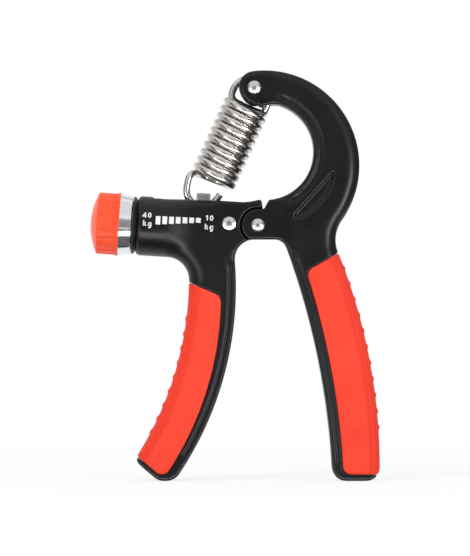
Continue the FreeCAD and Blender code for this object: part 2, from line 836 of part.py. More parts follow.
# barrel: round at the mouth, blending into the flat-sided body
mouth = size("barrelMouth")
mouthRound = size("mouthRound")
slope = mouthRound * (1 - math.sqrt(0.5))
alongBarrel(
    left,
    "barrel_round",
    [
        (mouth, 0), (mouth, barrelRadius - mouthRound), (mouth + mouthRound, barrelRadius),
        (loftStart, barrelRadius), (loftStart, 0),
    ],
    {1: (mouth + slope, barrelRadius - slope)},
)


def eightSided(halfWidth, halfHeight, topCorner, bottomCorner):
    # rounded oblong about the barrel axis: four sides and four corner arcs
    spots = [(1, 1, topCorner, 0), (-1, 1, topCorner, 90)]
    spots += [(-1, -1, bottomCorner, 180), (1, -1, bottomCorner, 270)]
    ends = []
    for sideways, upwards, radius, start in spots:
        centre = FreeCAD.Vector(
            sideways * (halfWidth - radius), upwards * (halfHeight - radius), 0
        )
        arc = Part.ArcOfCircle(
            Part.Circle(centre, FreeCAD.Vector(0, 0, 1), radius),
            math.radians(start),
            math.radians(start + 90),
        )
        ends.append(arc)
    joined = []
    for i, arc in enumerate(ends):
        joined.append(arc)
        joined.append(Part.LineSegment(arc.EndPoint, ends[(i + 1) % 4].StartPoint))
    return joined


def eightArcs(radius, widths):
    # circle about the barrel axis, split at the angles that match the oblong's corners
    shapes = []
    for start, end in zip(widths, widths[1:] + [widths[0] + 360]):
        shapes.append(Part.ArcOfCircle(
            Part.Circle(FreeCAD.Vector(0, 0, 0), FreeCAD.Vector(0, 0, 1), radius),
            math.radians(start),
            math.radians(end),
        ))
    return shapes


cornerAngles = [38, 65, 115, 142, 190, 245, 295, 350]
barrelEnd = eightArcs(barrelRadius, cornerAngles)
bodyEnd = eightSided(half, barrelRadius, size("topRound"), legBarrelEdge)
roundEnd = endSketch(left, "barrel_circle", loftStart, barrelEnd)
flatEnd = endSketch(left, "barrel_oblong", loftEnd, bodyEnd)
blendLoft = left.newObject("PartDesign::AdditiveLoft", "barrel_blend")
blendLoft.Profile = roundEnd
blendLoft.Sections = [flatEnd]
blendLoft.Ruled = True
doc.recompute()
bore = size("boreRadius")
screwBore = size("screwRadius") + size("runningGap")
alongBarrel(
    left,
    "barrel_bore",
    [
        (mouth - 1, 0), (mouth - 1, bore), (loftEnd, bore), (loftEnd, screwBore),
        (size("screwBoreEnd"), screwBore), (size("screwBoreEnd"), 0),
    ],
    cut=True,
)
slotStart = size("slotStart")
slotEnd = size("slotEnd")
slotSide = size("slotWidth") / 2
slotRound = size("slotRound")
slotSketch = left.newObject("Sketcher::SketchObject", "slot_outline")
slotSketch.AttachmentSupport = (originPlane(left, "XY_Plane"), [""])
slotSketch.MapMode = "FlatFace"
slotSketch.AttachmentOffset = FreeCAD.Placement(FreeCAD.Vector(0, 0, axisZ), FreeCAD.Rotation())
slotBulge = slotRound * (1 - math.sqrt(0.5))
slotPoints = [
    (slotStart + slotRound, -slotSide), (slotEnd - slotRound, -slotSide),
    (slotEnd, slotRound - slotSide), (slotEnd, slotSide - slotRound),
    (slotEnd - slotRound, slotSide), (slotStart + slotRound, slotSide),
    (slotStart, slotSide - slotRound), (slotStart, slotRound - slotSide),
]
slotArcs = {
    1: (slotEnd - slotBulge, slotBulge - slotSide),
    3: (slotEnd - slotBulge, slotSide - slotBulge),
    5: (slotStart + slotBulge, slotSide - slotBulge),
    7: (slotStart + slotBulge, slotBulge - slotSide),
}
for shape in polygon(slotPoints, slotArcs):
    slotSketch.addGeometry(shape, False)
slotCut = left.newObject("PartDesign::Pocket", "lug_slot")
slotCut.Profile = slotSketch
slotCut.Type = "ThroughAll"
slotCut.Reversed = True
doc.recompute()

# cheeks of the right handle run beside the tongue
cheek = hub["radius"] + size("hubGap")
faceRecess(left, "cheek_recess", [circle(0, 0, cheek)], "Sizes.tongueDepth / 2")
leftPadInner = disc(leftInner["x"], leftInner["z"] - size("leftRimSag"), innerRadius - size("leftRim"))
leftPadRound = size("leftPadRound")
leftSeat = outline(
    leftSeatTop, ((-60, -12), 0, True),
    line(-60, 0, 270), ((-60, -80), 0, True),
    leftSeatBottom, ((-37, -92), size("leftPadFootRound"), True),
    leftPadInner, ((-16, -27), leftPadRound, True),
)
faceRecess(left, "left_seat", leftSeat, "Sizes.coreDepth / 2")
leftGroove = band(
    leftInner, rim, size("rimGroove"),
    angleAt(leftInner, size("leftGrooveFoot")), angleAt(leftInner, size("leftGrooveTop")),
)
faceRecess(left, "left_leg_groove", leftGroove, grooveLevel)
sleeveHole = size("sleeveRadius") + size("pressGap")
crossHole(left, "sleeve_hole", 0, 0, sleeveHole)
crossHole(left, "retainer_hole", size("retainerX"), 0, size("retainerRadius") + size("pressGap"))


# Pieces on the hinge

pinHeight = size("rivetHeadHeight")
rivet("pivot_rivet", 0, 0, size("rivetRadius"), size("rivetHeadRadius"), pinHeight, half)
rivet("spring_pin", pinX, pinZ, size("springPinRadius"), size("springPinHead"), pinHeight, half)
rivet(
    "screw_retaining_pin", size("retainerX"), 0, size("retainerRadius"), size("retainerHead"),
    size("retainerHeadHeight"), half,
)
tongueHalf = size("tongueDepth") / 2
rivetHole = size("rivetRadius") + size("runningGap")
sleeve = newBody("pivot_sleeve")
acrossAt(sleeve, "sleeve_turned", 0, 0, [
    (rivetHole, -tongueHalf), (size("sleeveRadius"), -tongueHalf),
    (size("sleeveRadius"), tongueHalf), (rivetHole, tongueHalf),
])
washers = newBody("hinge_washers")
washerSketch = frontSketch(washers, "washer_ring", [
    circle(0, 0, size("washerRadius")), circle(0, 0, rivetHole),
])
washerSketch.setExpression("AttachmentOffset.Base.z", "Sizes.tongueDepth / 2")
washerPad = washers.newObject("PartDesign::Pad", "washer_front")
washerPad.Profile = washerSketch
washerPad.setExpression("Length", "Sizes.washerThick")
doc.recompute()
washerBehind = doc.addObject("Part::Mirroring", "washer_behind")
washerBehind.Source = washers
washerBehind.Normal = FreeCAD.Vector(0, 1, 0)
washerPair = doc.addObject("Part::Compound", "washer_pair")
washerPair.Links = [washers, washerBehind]
doc.recompute()

# Soft grips


def softGrip(label, shapes, core, outer, ribs, lowEdge, highEdge):
    # crowned sleeve over the core of a leg, with half-round ribs along its outer edge
    body = newBody(label)
    block = frontSketch(body, label + "_outline", shapes)
    midPad(body, label + "_block", block, "Sizes.padDepth")
    doc.recompute()
    roundedCorner(body, label + "_crown", outer, size("padEdge"), lowEdge, highEdge, "padDepth")
    hole = frontSketch(body, label + "_core_outline", core)
    midPocket(body, label + "_core", hole, "Sizes.coreDepth")
    doc.recompute()
    sketch = body.newObject("Sketcher::SketchObject", label + "_rib_circle")
    sketch.AttachmentSupport = (originPlane(body, "XZ_Plane"), [""])
    sketch.MapMode = "FlatFace"
    firstRib = FreeCAD.Rotation(FreeCAD.Vector(0, 0, 1), angleAt(outer, size(ribs + "RibTop")))
    centre = FreeCAD.Vector(outer["x"], outer["z"], 0)
    sketch.AttachmentOffset = FreeCAD.Placement(centre, firstRib)
    sunk = (size("ribRadius") - size("ribProud")) * outer["out"]
    sketch.addGeometry(circle(outer["radius"] - sunk, 0, size("ribRadius")), False)
    rib = midPad(body, label + "_rib", sketch, "Sizes.ribLength")
    doc.recompute()
    row = body.newObject("PartDesign::PolarPattern", label + "_ribs")
    row.Originals = [rib]
    row.Axis = (sketch, ["N_Axis"])
    length = size(ribs + "RibPitch") * (size(ribs + "Ribs") - 1)
    row.Angle = math.degrees(length / outer["radius"])
    row.Reversed = True
    row.setExpression("Occurrences", "Sizes." + ribs + "Ribs")
    body.Tip = row
    doc.recompute()


seam = size("seamGap")
rightGripOutline = outline(
    line(0, rightPadBottom["z"] + seam, 0), ((46.8, -97), 0, True),
    rightToe, tangent,
    rightOuter, ((31, -11), 0, True),
    grown(rightSeatTop, -seam), ((21, -17), padRound, True),
    grown(rightPadInner, -seam), ((36, -93), padRound, True),
)
rightCoreHole = outline(
    line(0, rightPadBottom["z"] - 5, 0), ((43, -102), 0, True),
    grown(rightCore, seam), ((25, 0), 0, True),
    line(0, 0, 180), ((-10, 0), 0, True),
    line(-10, 0, 270), ((-10, -102), 0, True),
)
softGrip(
    "right_grip_pad", rightGripOutline, rightCoreHole, rightOuter, "right",
    angleAt(rightOuter, -104), angleAt(rightOuter, -8),
)
leftGripOutline = outline(
    grown(leftSeatBottom, -seam), ((-37, -92), size("leftPadFootRound"), True),
    grown(leftPadInner, -seam), ((-16, -27), leftPadRound, True),
    grown(leftSeatTop, -seam), ((-25.4, -24), 0, True),
    leftOuter, ((-41, -92), 0, True),
)
leftCoreHole = outline(
    grown(leftCore, seam), ((-57, -120), 0, True),
    line(0, -120, 0), ((10, -120), 0, True),
    line(10, 0, 90), ((10, -5), 0, True),
    line(0, -5, 180), ((-24.6, -5), 0, True),
)
softGrip(
    "left_grip_pad", leftGripOutline, leftCoreHole, leftOuter, "left",
    angleAt(leftOuter, -98), angleAt(leftOuter, -20),
)

# Knob side: screw, hub, lock nut, chrome ring and fluted knob

shaft = size("screwRadius")
press = size("pressGap")
running = size("runningGap")
headStart = size("headStart")
headEnd = size("headEnd")
hubStart = size("hubStart")
hubEnd = size("hubEnd")
spigot = size("hubSpigot")
screw = newBody("adjusting_screw")
screwHead = screw.newObject("PartDesign::Pad", "screw_head")
screwHead.Profile = endSketch(screw, "screw_hexagon", headStart, hexagon(size("headRadius")))
screwHead.setExpression("Length", "Sizes.headEnd - Sizes.headStart")
doc.recompute()
neckStart = size("retainerX") - size("neckHalf")
neckEnd = size("retainerX") + size("neckHalf")
screwEnd = size("screwEnd")
bevel = size("endBevel")
alongBarrel(screw, "screw_shaft", [
    (headEnd - 0.5, 0), (headEnd - 0.5, shaft), (neckStart, shaft), (neckStart, size("neckRadius")),
    (neckEnd, size("neckRadius")), (neckEnd, shaft), (screwEnd - bevel, shaft),
    (screwEnd, shaft - bevel), (screwEnd, 0),
])
knobHub = newBody("knob_hub")
recess = size("lockRecess")
lockStart = size("lockNutStart")
alongBarrel(knobHub, "hub_turned", [
    (hubStart, shaft + press), (hubStart, spigot), (hubEnd, spigot), (hubEnd, recess),
    (lockStart, recess), (lockStart, shaft + press),
])
hubHex = knobHub.newObject("PartDesign::Pocket", "hub_hexagon_seat")
hubHex.Profile = endSketch(knobHub, "hub_hexagon", headEnd, hexagon(size("headRadius") + press))
hubHex.Type = "ThroughAll"
doc.recompute()
lockNut = newBody("knob_lock_nut")
lockPad = lockNut.newObject("PartDesign::Pad", "lock_nut_block")
nutOutline = hexagon(size("lockNutRadius")) + [circle(0, 0, shaft + press)]
lockPad.Profile = endSketch(lockNut, "lock_nut_outline", lockStart, nutOutline)
lockPad.setExpression("Length", "Sizes.lockNutEnd - Sizes.lockNutStart")
doc.recompute()
knobEnd = size("knobEnd")
ringEnd = size("ringEnd")
ringRadius = size("ringRadius")
ring = newBody("knob_ring")
alongBarrel(ring, "ring_turned", [
    (knobEnd, spigot + press), (knobEnd, ringRadius), (ringEnd - bevel, ringRadius),
    (ringEnd, ringRadius - bevel), (ringEnd, spigot + press),
])
knob = newBody("adjust_knob")
knobStart = size("knobStart")
knobRadius = size("knobRadius")
dome = knobStart + size("knobDome")
knobRound = size("knobRound")
knobBulge = knobRound * (1 - math.sqrt(0.5))
lipStart = knobEnd - size("knobLipWidth")
lipRadius = knobRadius + size("knobLip")
alongBarrel(knob, "knob_turned", [
    (knobStart, 0), (knobStart, size("knobFlat")), (dome, knobRadius - knobRound),
    (dome + knobRound, knobRadius), (lipStart, knobRadius), (lipStart, lipRadius), (knobEnd, lipRadius),
    (knobEnd, spigot + press), (hubStart, spigot + press), (hubStart, 0),
], {
    1: (knobStart + size("knobDome") * 0.3, knobRadius * 0.53),
    2: (dome + knobBulge, knobRadius - knobBulge),
})
headSeat = knob.newObject("PartDesign::Pocket", "knob_head_seat")
headSeat.Profile = endSketch(knob, "knob_hexagon", hubStart, hexagon(size("headRadius") + press))
headSeat.setExpression("Length", "Sizes.hubStart - Sizes.headStart + Sizes.pressGap")
doc.recompute()
fluteAway = knobRadius + size("fluteRadius") - size("fluteDepth")
fluteSketch = endSketch(knob, "flute_circle", lipStart, [circle(0, fluteAway, size("fluteRadius"))])
flute = knob.newObject("PartDesign::Pocket", "flute")
flute.Profile = fluteSketch
flute.Type = "ThroughAll"
doc.recompute()
flutes = knob.newObject("PartDesign::PolarPattern", "flutes")
flutes.Originals = [flute]
flutes.Axis = (fluteSketch, ["N_Axis"])
flutes.Angle = 360
flutes.setExpression("Occurrences", "Sizes.fluteCount")
knob.Tip = flutes
doc.recompute()

# Barrel side: end bush, thrust washer and the nut that carries the hook

bushStart = size("bushFlangeStart")
bushEnd = size("bushFlangeEnd")
flange = size("bushFlange")
neck = size("bushNeck")
plug = bore - press
plugEnd = size("bushPlugEnd")
bush = newBody("barrel_end_bush")
alongBarrel(bush, "bush_turned", [
    (bushStart, screwBore), (bushStart, flange), (bushStart + size("bushLip"), flange),
    (bushEnd, neck + size("bushTaper")),
    (bushEnd, neck), (mouth, neck), (mouth, plug), (plugEnd, plug), (plugEnd, screwBore),
])
thrust = newBody("thrust_washer")
thrustStart = bushStart - size("thrustThick")
alongBarrel(thrust, "thrust_turned", [
    (thrustStart, size("thrustInner")), (thrustStart, size("thrustOuter")),
    (bushStart, size("thrustOuter")), (bushStart, size("thrustInner")),
])
nut = newBody("traveller_nut")
lugX = size("wireHoleX")
nutStart = lugX - size("nutLeft")
nutEnd = lugX + size("nutRight")
nutRadius = size("nutRadius")
alongBarrel(nut, "nut_turned", [(nutStart, 0), (nutStart, nutRadius), (nutEnd, nutRadius), (nutEnd, 0)])
lugHalf = size("lugWidth") / 2
lugSide = size("lugDepth") / 2
lugSketch = nut.newObject("Sketcher::SketchObject", "lug_outline")
lugSketch.AttachmentSupport = (originPlane(nut, "XY_Plane"), [""])
lugSketch.MapMode = "FlatFace"
lugSketch.AttachmentOffset = FreeCAD.Placement(FreeCAD.Vector(0, 0, axisZ), FreeCAD.Rotation())
lugCorners = [
    (lugX - lugHalf, -lugSide), (lugX + lugHalf, -lugSide),
    (lugX + lugHalf, lugSide), (lugX - lugHalf, lugSide),
]
for shape in polygon(lugCorners):
    lugSketch.addGeometry(shape, False)
lug = nut.newObject("PartDesign::Pad", "lug")
lug.Profile = lugSketch
lug.setExpression("Length", "Sizes.lugTop - Sizes.barrelAxis")
doc.recompute()


def lugEdge(edge):
    # upright corners and top edges of the lug
    box = edge.BoundBox
    return box.ZMax > barrelTop and abs(box.Center.x - lugX) < lugHalf + 0.1


fillet(nut, "lug_round", edgesWhere(nut.Shape, lugEdge), "Sizes.lugRound")
alongBarrel(nut, "nut_bore", [
    (nutStart - 1, 0), (nutStart - 1, screwBore), (nutEnd + 1, screwBore), (nutEnd + 1, 0),
], cut=True)
wireCircle = circle(0, size("wireHoleZ") - axisZ, size("wireHoleRadius"))
wireSketch = endSketch(nut, "wire_circle", lugX, [wireCircle])
midPocket(nut, "wire_hole", wireSketch, "Sizes.lugWidth + 2")
doc.recompute()

# Spring: one wire in three lengths, an upper loop, the coil and the lower hook

lean = math.radians(size("coilLean"))
down = FreeCAD.Vector(-math.sin(lean), 0, -math.cos(lean))
across = FreeCAD.Vector(math.cos(lean), 0, -math.sin(lean))
inward = FreeCAD.Vector(0, 1, 0)
coilRadius = size("coilRadius")
pitch = size("coilPitch")
startTurn = math.radians(size("coilStartAngle"))
endTurn = 2 * math.pi * size("coilTurns") - startTurn
pinPoint = FreeCAD.Vector(pinX, 0, pinZ)
coilTop = pinPoint + down * size("coilDrop") + across * size("coilAside")


def unit(vector):
    return vector * (1 / vector.Length)


def coilPoint(turn):
    # the coil narrows over its first and last half turn, where the wire leaves for its ends
    fade = max(0, 1 - (turn - startTurn) / math.pi, 1 - (endTurn - turn) / math.pi)
    radius = coilRadius + (size("coilEndRadius") - coilRadius) * fade
    centre = coilTop + down * (pitch * (turn - startTurn) / 2 / math.pi)
    return centre + across * (radius * math.cos(turn)) + inward * (radius * math.sin(turn))


def coilHeading(turn):
    ahead = min(turn + 1e-4, endTurn)
    behind = max(turn - 1e-4, startTurn)
    return unit(coilPoint(ahead) - coilPoint(behind))


def bend(start, apex, end):
    # arc that leaves its start towards the apex and arrives at its end from there
    middle = (start + end) * 0.5
    halfChord = (end - start).Length / 2
    lift = apex - middle
    if lift.Length < 1e-6:
        return Part.LineSegment(start, end)
    slope = math.atan2(lift.Length, halfChord)
    return Part.Arc(start, middle + unit(lift) * (halfChord * math.tan(slope / 2)), end)


def bends(start, heading, end, arriving):
    # two arcs that join two points with the wanted directions
    gap = end - start
    both = heading + arriving
    square = 2 * (heading.dot(arriving) - 1)
    if abs(square) < 1e-9:
        reach = gap.dot(gap) / 2 / gap.dot(both)
    else:
        ahead = gap.dot(both)
        reach = (ahead - math.sqrt(ahead**2 - square * gap.dot(gap))) / square
    first = start + heading * reach
    second = end - arriving * reach
    joint = (first + second) * 0.5
    return [bend(start, first, joint), bend(joint, second, end)]


def wirePiece(label, curves):
    # wire along a path of arcs and straight lengths, eight-sided so that its many turns stay light
    path = Part.Wire([curve.toShape() for curve in curves])
    start = curves[0].value(curves[0].FirstParameter)
    heading = curves[0].tangent(curves[0].FirstParameter)[0]
    sideways = unit(heading.cross(inward + across * 0.1))
    upwards = heading.cross(sideways)
    corners = []
    for i in range(int(size("wireSides"))):
        turn = math.radians(360 * i / size("wireSides"))
        corners.append(start + sideways * (wire * math.cos(turn)) + upwards * (wire * math.sin(turn)))
    ring = Part.makePolygon(corners + corners[:1])
    solid = path.makePipeShell([ring], True, False)
    node = doc.addObject("Part::Feature", label)
    node.Label = label
    node.Shape = solid
    leastGap(label, path)
    return node


def leastGap(label, path):
    # smallest space between stretches of the wire that are not neighbours along it
    samples = path.discretize(Distance=wire / 2)
    apart = int(8 * wire / (path.Length / (len(samples) - 1)))
    least = None
    for i, a in enumerate(samples):
        for b in samples[i + apart:]:
            far = a.distanceToPoint(b)
            if least is None or far < least:
                least = far
    if least is not None:
        print(label, "least gap to itself", round(least - 2 * wire, 2))


loopCentre = pinPoint + down * loopDrop
loopSide = loopCentre + across * loopRadius
loopEndTurn = math.radians(size("loopAngle"))


def loopPoint(turn):
    return loopCentre + across * (loopRadius * math.cos(turn)) - down * (loopRadius * math.sin(turn))


bendTop = coilPoint(startTurn)
bendDepth = (bendTop - loopCentre).dot(down) - size("loopBendRoom")
parting = loopSide + down * (bendDepth / 2)
tail = loopPoint(loopEndTurn)
tailHeading = across * -math.sin(loopEndTurn) - down * math.cos(loopEndTurn)
upperLoop = wirePiece("spring_upper_loop", [
    Part.LineSegment(parting, loopSide),
    Part.Arc(loopSide, loopPoint(loopEndTurn / 4), loopPoint(loopEndTurn / 2)),
    Part.Arc(loopPoint(loopEndTurn / 2), loopPoint(loopEndTurn * 3 / 4), tail),
    Part.LineSegment(tail, tail + tailHeading * size("loopTail")),
])

hookCentre = FreeCAD.Vector(size("nutHookX"), 0, size("nutHookZ") + size("hookRadius"))
hookStart = math.radians(size("hookStart"))
hookEnd = math.radians(size("hookEnd"))


def hookPoint(turn):
    away = FreeCAD.Vector(math.cos(turn), 0, math.sin(turn))
    return hookCentre + away * size("hookRadius")


def hookHeading(turn):
    return FreeCAD.Vector(-math.sin(turn), 0, math.cos(turn))


hookTop = hookPoint(hookStart)
hookDown = hookHeading(hookStart)
lowerParting = hookTop - hookDown * (size("hookLead") / 2)
lowerBend = hookTop - hookDown * size("hookLead")
bendEnd = loopSide + down * bendDepth
steps = int(2 * size("coilTurns"))
coilCurves = [Part.LineSegment(parting, bendEnd)]
coilCurves += bends(bendEnd, down, coilPoint(startTurn), coilHeading(startTurn))
for i in range(steps):
    a = startTurn + (endTurn - startTurn) * i / steps
    b = startTurn + (endTurn - startTurn) * (i + 1) / steps
    coilCurves += bends(coilPoint(a), coilHeading(a), coilPoint(b), coilHeading(b))
coilCurves += bends(coilPoint(endTurn), coilHeading(endTurn), lowerBend, hookDown)
coilCurves.append(Part.LineSegment(lowerBend, lowerParting))
coils = wirePiece("spring_coils", coilCurves)
hookTail = hookPoint(hookEnd)
lowerHook = wirePiece("spring_lower_hook", [
    Part.LineSegment(lowerParting, hookTop),
    Part.Arc(hookTop, hookPoint((hookStart + hookEnd) / 2), hookTail),
    Part.LineSegment(hookTail, hookTail + hookHeading(hookEnd) * size("hookTail")),
])

# Placing: the left handle's pieces tilt with the barrel, and the whole stands on the floor

rootPieces = ["right_handle", "right_grip_pad", "pivot_rivet", "spring_pin"]
springPieces = ["spring_upper_loop", "spring_coils", "spring_lower_hook"]
leftPieces = ["left_handle", "left_grip_pad", "screw_retaining_pin", "pivot_sleeve", "barrel_end_bush"]
leftPieces += ["thrust_washer", "hinge_washers", "traveller_nut"]
knobPieces = ["adjusting_screw", "knob_hub", "knob_lock_nut", "knob_ring", "adjust_knob"]
tilted = FreeCAD.Rotation(FreeCAD.Vector(0, 1, 0), size("barrelTilt"))
for name in leftPieces + knobPieces:
    doc.getObject(name).Placement = FreeCAD.Placement(FreeCAD.Vector(), tilted)
doc.recompute()
allNames = rootPieces + springPieces + leftPieces + knobPieces
bounds = FreeCAD.BoundBox()
for name in allNames:
    bounds.add(doc.getObject(name).Shape.optimalBoundingBox(False, False))
shift = FreeCAD.Vector(-(bounds.XMin + bounds.XMax) / 2, 0, size("footDrop"))
print("bounds", bounds)
print("pivot sits at", shift)
for name in allNames:
    node = doc.getObject(name)
    node.Placement = FreeCAD.Placement(shift, node.Placement.Rotation)
doc.recompute()

for node in doc.Objects:
    if "Invalid" in node.State or "Error" in node.State:
        raise RuntimeError(node.Name + " did not build")
nodes = {name: doc.getObject(name) for name in allNames}
nodes["hinge_washers"] = washerPair
for name, node in nodes.items():
    if node.Shape.isNull() or not node.Shape.isValid():
        raise RuntimeError(name + " has no sound shape")
os.makedirs("parts", exist_ok=True)
for name, node in nodes.items():
    node.Shape.exportStep("parts/" + name + ".step")
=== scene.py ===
import bmesh
import bpy
import math
from mathutils import Matrix, Vector
from mathutils.bvhtree import BVHTree


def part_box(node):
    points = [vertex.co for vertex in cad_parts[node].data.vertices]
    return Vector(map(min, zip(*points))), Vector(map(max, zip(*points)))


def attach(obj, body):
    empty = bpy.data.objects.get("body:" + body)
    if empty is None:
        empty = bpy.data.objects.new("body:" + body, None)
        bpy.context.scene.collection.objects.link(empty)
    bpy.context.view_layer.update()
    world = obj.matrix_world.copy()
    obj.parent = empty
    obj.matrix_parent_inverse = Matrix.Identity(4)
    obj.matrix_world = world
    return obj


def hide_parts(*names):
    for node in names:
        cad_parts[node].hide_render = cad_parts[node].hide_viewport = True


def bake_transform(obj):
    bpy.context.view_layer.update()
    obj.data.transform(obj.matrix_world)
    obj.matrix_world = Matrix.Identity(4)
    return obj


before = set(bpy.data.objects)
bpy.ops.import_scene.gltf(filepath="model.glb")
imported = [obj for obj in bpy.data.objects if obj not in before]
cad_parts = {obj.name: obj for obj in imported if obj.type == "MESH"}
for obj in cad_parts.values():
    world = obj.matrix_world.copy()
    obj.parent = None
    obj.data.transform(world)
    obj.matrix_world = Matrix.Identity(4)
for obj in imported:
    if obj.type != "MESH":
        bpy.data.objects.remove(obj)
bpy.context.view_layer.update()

# An adjustable hand grip strengthener. Lengths in the settings are millimetres measured from
# the pivot rivet, X to the right and Z up; inFrame turns them into metres of the frame.
mm = 0.001
pivotInFrame = sum(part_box("pivot_rivet"), Vector()) / 2
barrelTilt = math.radians(3.6)
barrelAxisDrop = -2.95  # the barrel's axis runs this far below the pivot


def inFrame(x, z, y=0.0):
    return Vector((pivotInFrame.x + x * mm, y * mm, pivotInFrame.z + z * mm))


def fromPivot(point):
    # a place in the frame as millimetres to the right of the pivot and above it
    return ((point.x - pivotInFrame.x) / mm, (point.z - pivotInFrame.z) / mm)


def fromBarrel(x, z, y=0.0):
    # the place in the frame of a point given along and across the tilted barrel
    c, s = math.cos(barrelTilt), math.sin(barrelTilt)
    return inFrame(x * c + z * s, -x * s + z * c, y)


def levelPoint(point):
    # the other way: a place in the frame as millimetres along and across the barrel
    x, z = fromPivot(point)
    c, s = math.cos(barrelTilt), math.sin(barrelTilt)
    return (x * c - z * s, x * s + z * c)


def distanceInPicture(point, place):
    # millimetres between two places as the photograph shows them, whatever their depth
    return math.dist((point.x, point.z), (place.x, place.z)) / mm


def fromSegment(point, start, end):
    # how far a point lies from the line between two others, in the plane of the photograph
    a, b, p = Vector(start), Vector(end), Vector(point)
    along = min(max((p - a).dot(b - a) / (b - a).length_squared, 0), 1)
    return (p - a.lerp(b, along)).length


def smoothStep(t):
    return t * t * (3 - 2 * t)


def addObject(name, data):
    made = bpy.data.objects.new(name, data)
    bpy.context.scene.collection.objects.link(made)
    return made


def meshFrom(shape, name):
    mesh = bpy.data.meshes.new(name)
    shape.to_mesh(mesh)
    shape.free()
    return mesh


def solvedMesh(holder):
    # the mesh that a curve or an object's modifiers give
    solver = bpy.context.evaluated_depsgraph_get()
    return bpy.data.meshes.new_from_object(holder.evaluated_get(solver))


def applyModifiers(piece):
    solved = solvedMesh(piece)
    piece.modifiers.clear()
    piece.data = solved


def linearColour(hexCode):
    # sRGB hex to the linear values that nodes use
    values = [int(hexCode[i:i + 2], 16) / 255 for i in (1, 3, 5)]
    linear = [v / 12.92 if v <= 0.04045 else ((v + 0.055) / 1.055) ** 2.4 for v in values]
    return (*linear, 1.0)


def addNode(material, kind, settings=None, inputs=None, links=None):
    # one node with its properties, its socket values and the links that come into it
    node = material.node_tree.nodes.new(kind)
    for name, value in (settings or {}).items():
        setattr(node, name, value)
    for name, value in (inputs or {}).items():
        node.inputs[name].default_value = value
    for name, source in (links or {}).items():
        link(material, source, node.inputs[name])
    return node


def link(material, source, target):
    material.node_tree.links.new(source, target)


def startMaterial(name):
    material = bpy.data.materials.new(name)
    material.use_nodes = True
    shader = material.node_tree.nodes["Principled BSDF"]
    place = addNode(material, "ShaderNodeTexCoord")
    return material, shader, place.outputs["Object"]


def addNoise(material, place, size, detail, roughness=0.5):
    # noise with features of about this size in mm
    noise = addNode(material, "ShaderNodeTexNoise", None,
                    {"Scale": 1 / (size * mm), "Detail": detail, "Roughness": roughness},
                    {"Vector": place})
    return noise.outputs["Fac"]


def addTint(material, noise, *stops):
    # two colours that follow the noise, each given as (noise value, colour)
    tint = addNode(material, "ShaderNodeValToRGB", None, None, {"Fac": noise})
    for element, (position, colour) in zip(tint.color_ramp.elements, stops):
        element.position = position
        element.color = linearColour(colour)
    return tint.outputs["Color"]


noiseRange = (0.3, 0.7)  # nearly all of a noise lies between these values


def varyRoughness(material, shader, noise, low, high):
    spread = addNode(material, "ShaderNodeMapRange", None,
                     {"From Min": noiseRange[0], "From Max": noiseRange[1],
                      "To Min": low, "To Max": high}, {"Value": noise})
    link(material, spread.outputs["Result"], shader.inputs["Roughness"])


def addRelief(material, shader, noise, strength, depth):
    # fine relief, its depth in mm
    bump = addNode(material, "ShaderNodeBump", None,
                   {"Strength": strength, "Distance": depth * mm}, {"Height": noise})
    link(material, bump.outputs["Normal"], shader.inputs["Normal"])


plasticSettings = {
    "ior": 1.54, "gloss": 0.3, "grainSize": 0.28, "grainDetail": 2.0, "grainStrength": 0.35,
    "flowSize": 14.0, "flowDetail": 3.0, "darkUpTo": 0.35, "lightFrom": 0.68,
}


def mouldedPlastic(name, dark, light, roughLow, roughHigh, grainDepth):
    # injection moulded plastic: a spark eroded tool leaves a fine even grain, and the flow of
    # the plastic leaves broad patches that shine a little more or less
    s = plasticSettings
    material, shader, place = startMaterial(name)
    flow = addNoise(material, place, s["flowSize"], s["flowDetail"])
    grain = addNoise(material, place, s["grainSize"], s["grainDetail"])
    tint = addTint(material, flow, (s["darkUpTo"], dark), (s["lightFrom"], light))
    link(material, tint, shader.inputs["Base Color"])
    varyRoughness(material, shader, flow, roughLow, roughHigh)
    addRelief(material, shader, grain, s["grainStrength"], grainDepth)
    shader.inputs["IOR"].default_value = s["ior"]
    shader.inputs["Specular IOR Level"].default_value = s["gloss"]
    return material


rubberSettings = {
    # the third colour is painted shade: a deeper red for the ribbed band along the outer edge
    "base": "#F2452F", "shade": "#E83C28", "ribbedBandShade": "#DE301C",
    "ior": 1.45, "gloss": 0.3, "sheen": 0.03, "roughLow": 0.55, "roughHigh": 0.68,
    "grainSize": 0.35, "grainDetail": 2.0, "grainStrength": 0.3, "grainDepth": 0.03,
    "patchSize": 14.0, "patchDetail": 4.0, "shadeUpTo": 0.3, "baseFrom": 0.65,
}


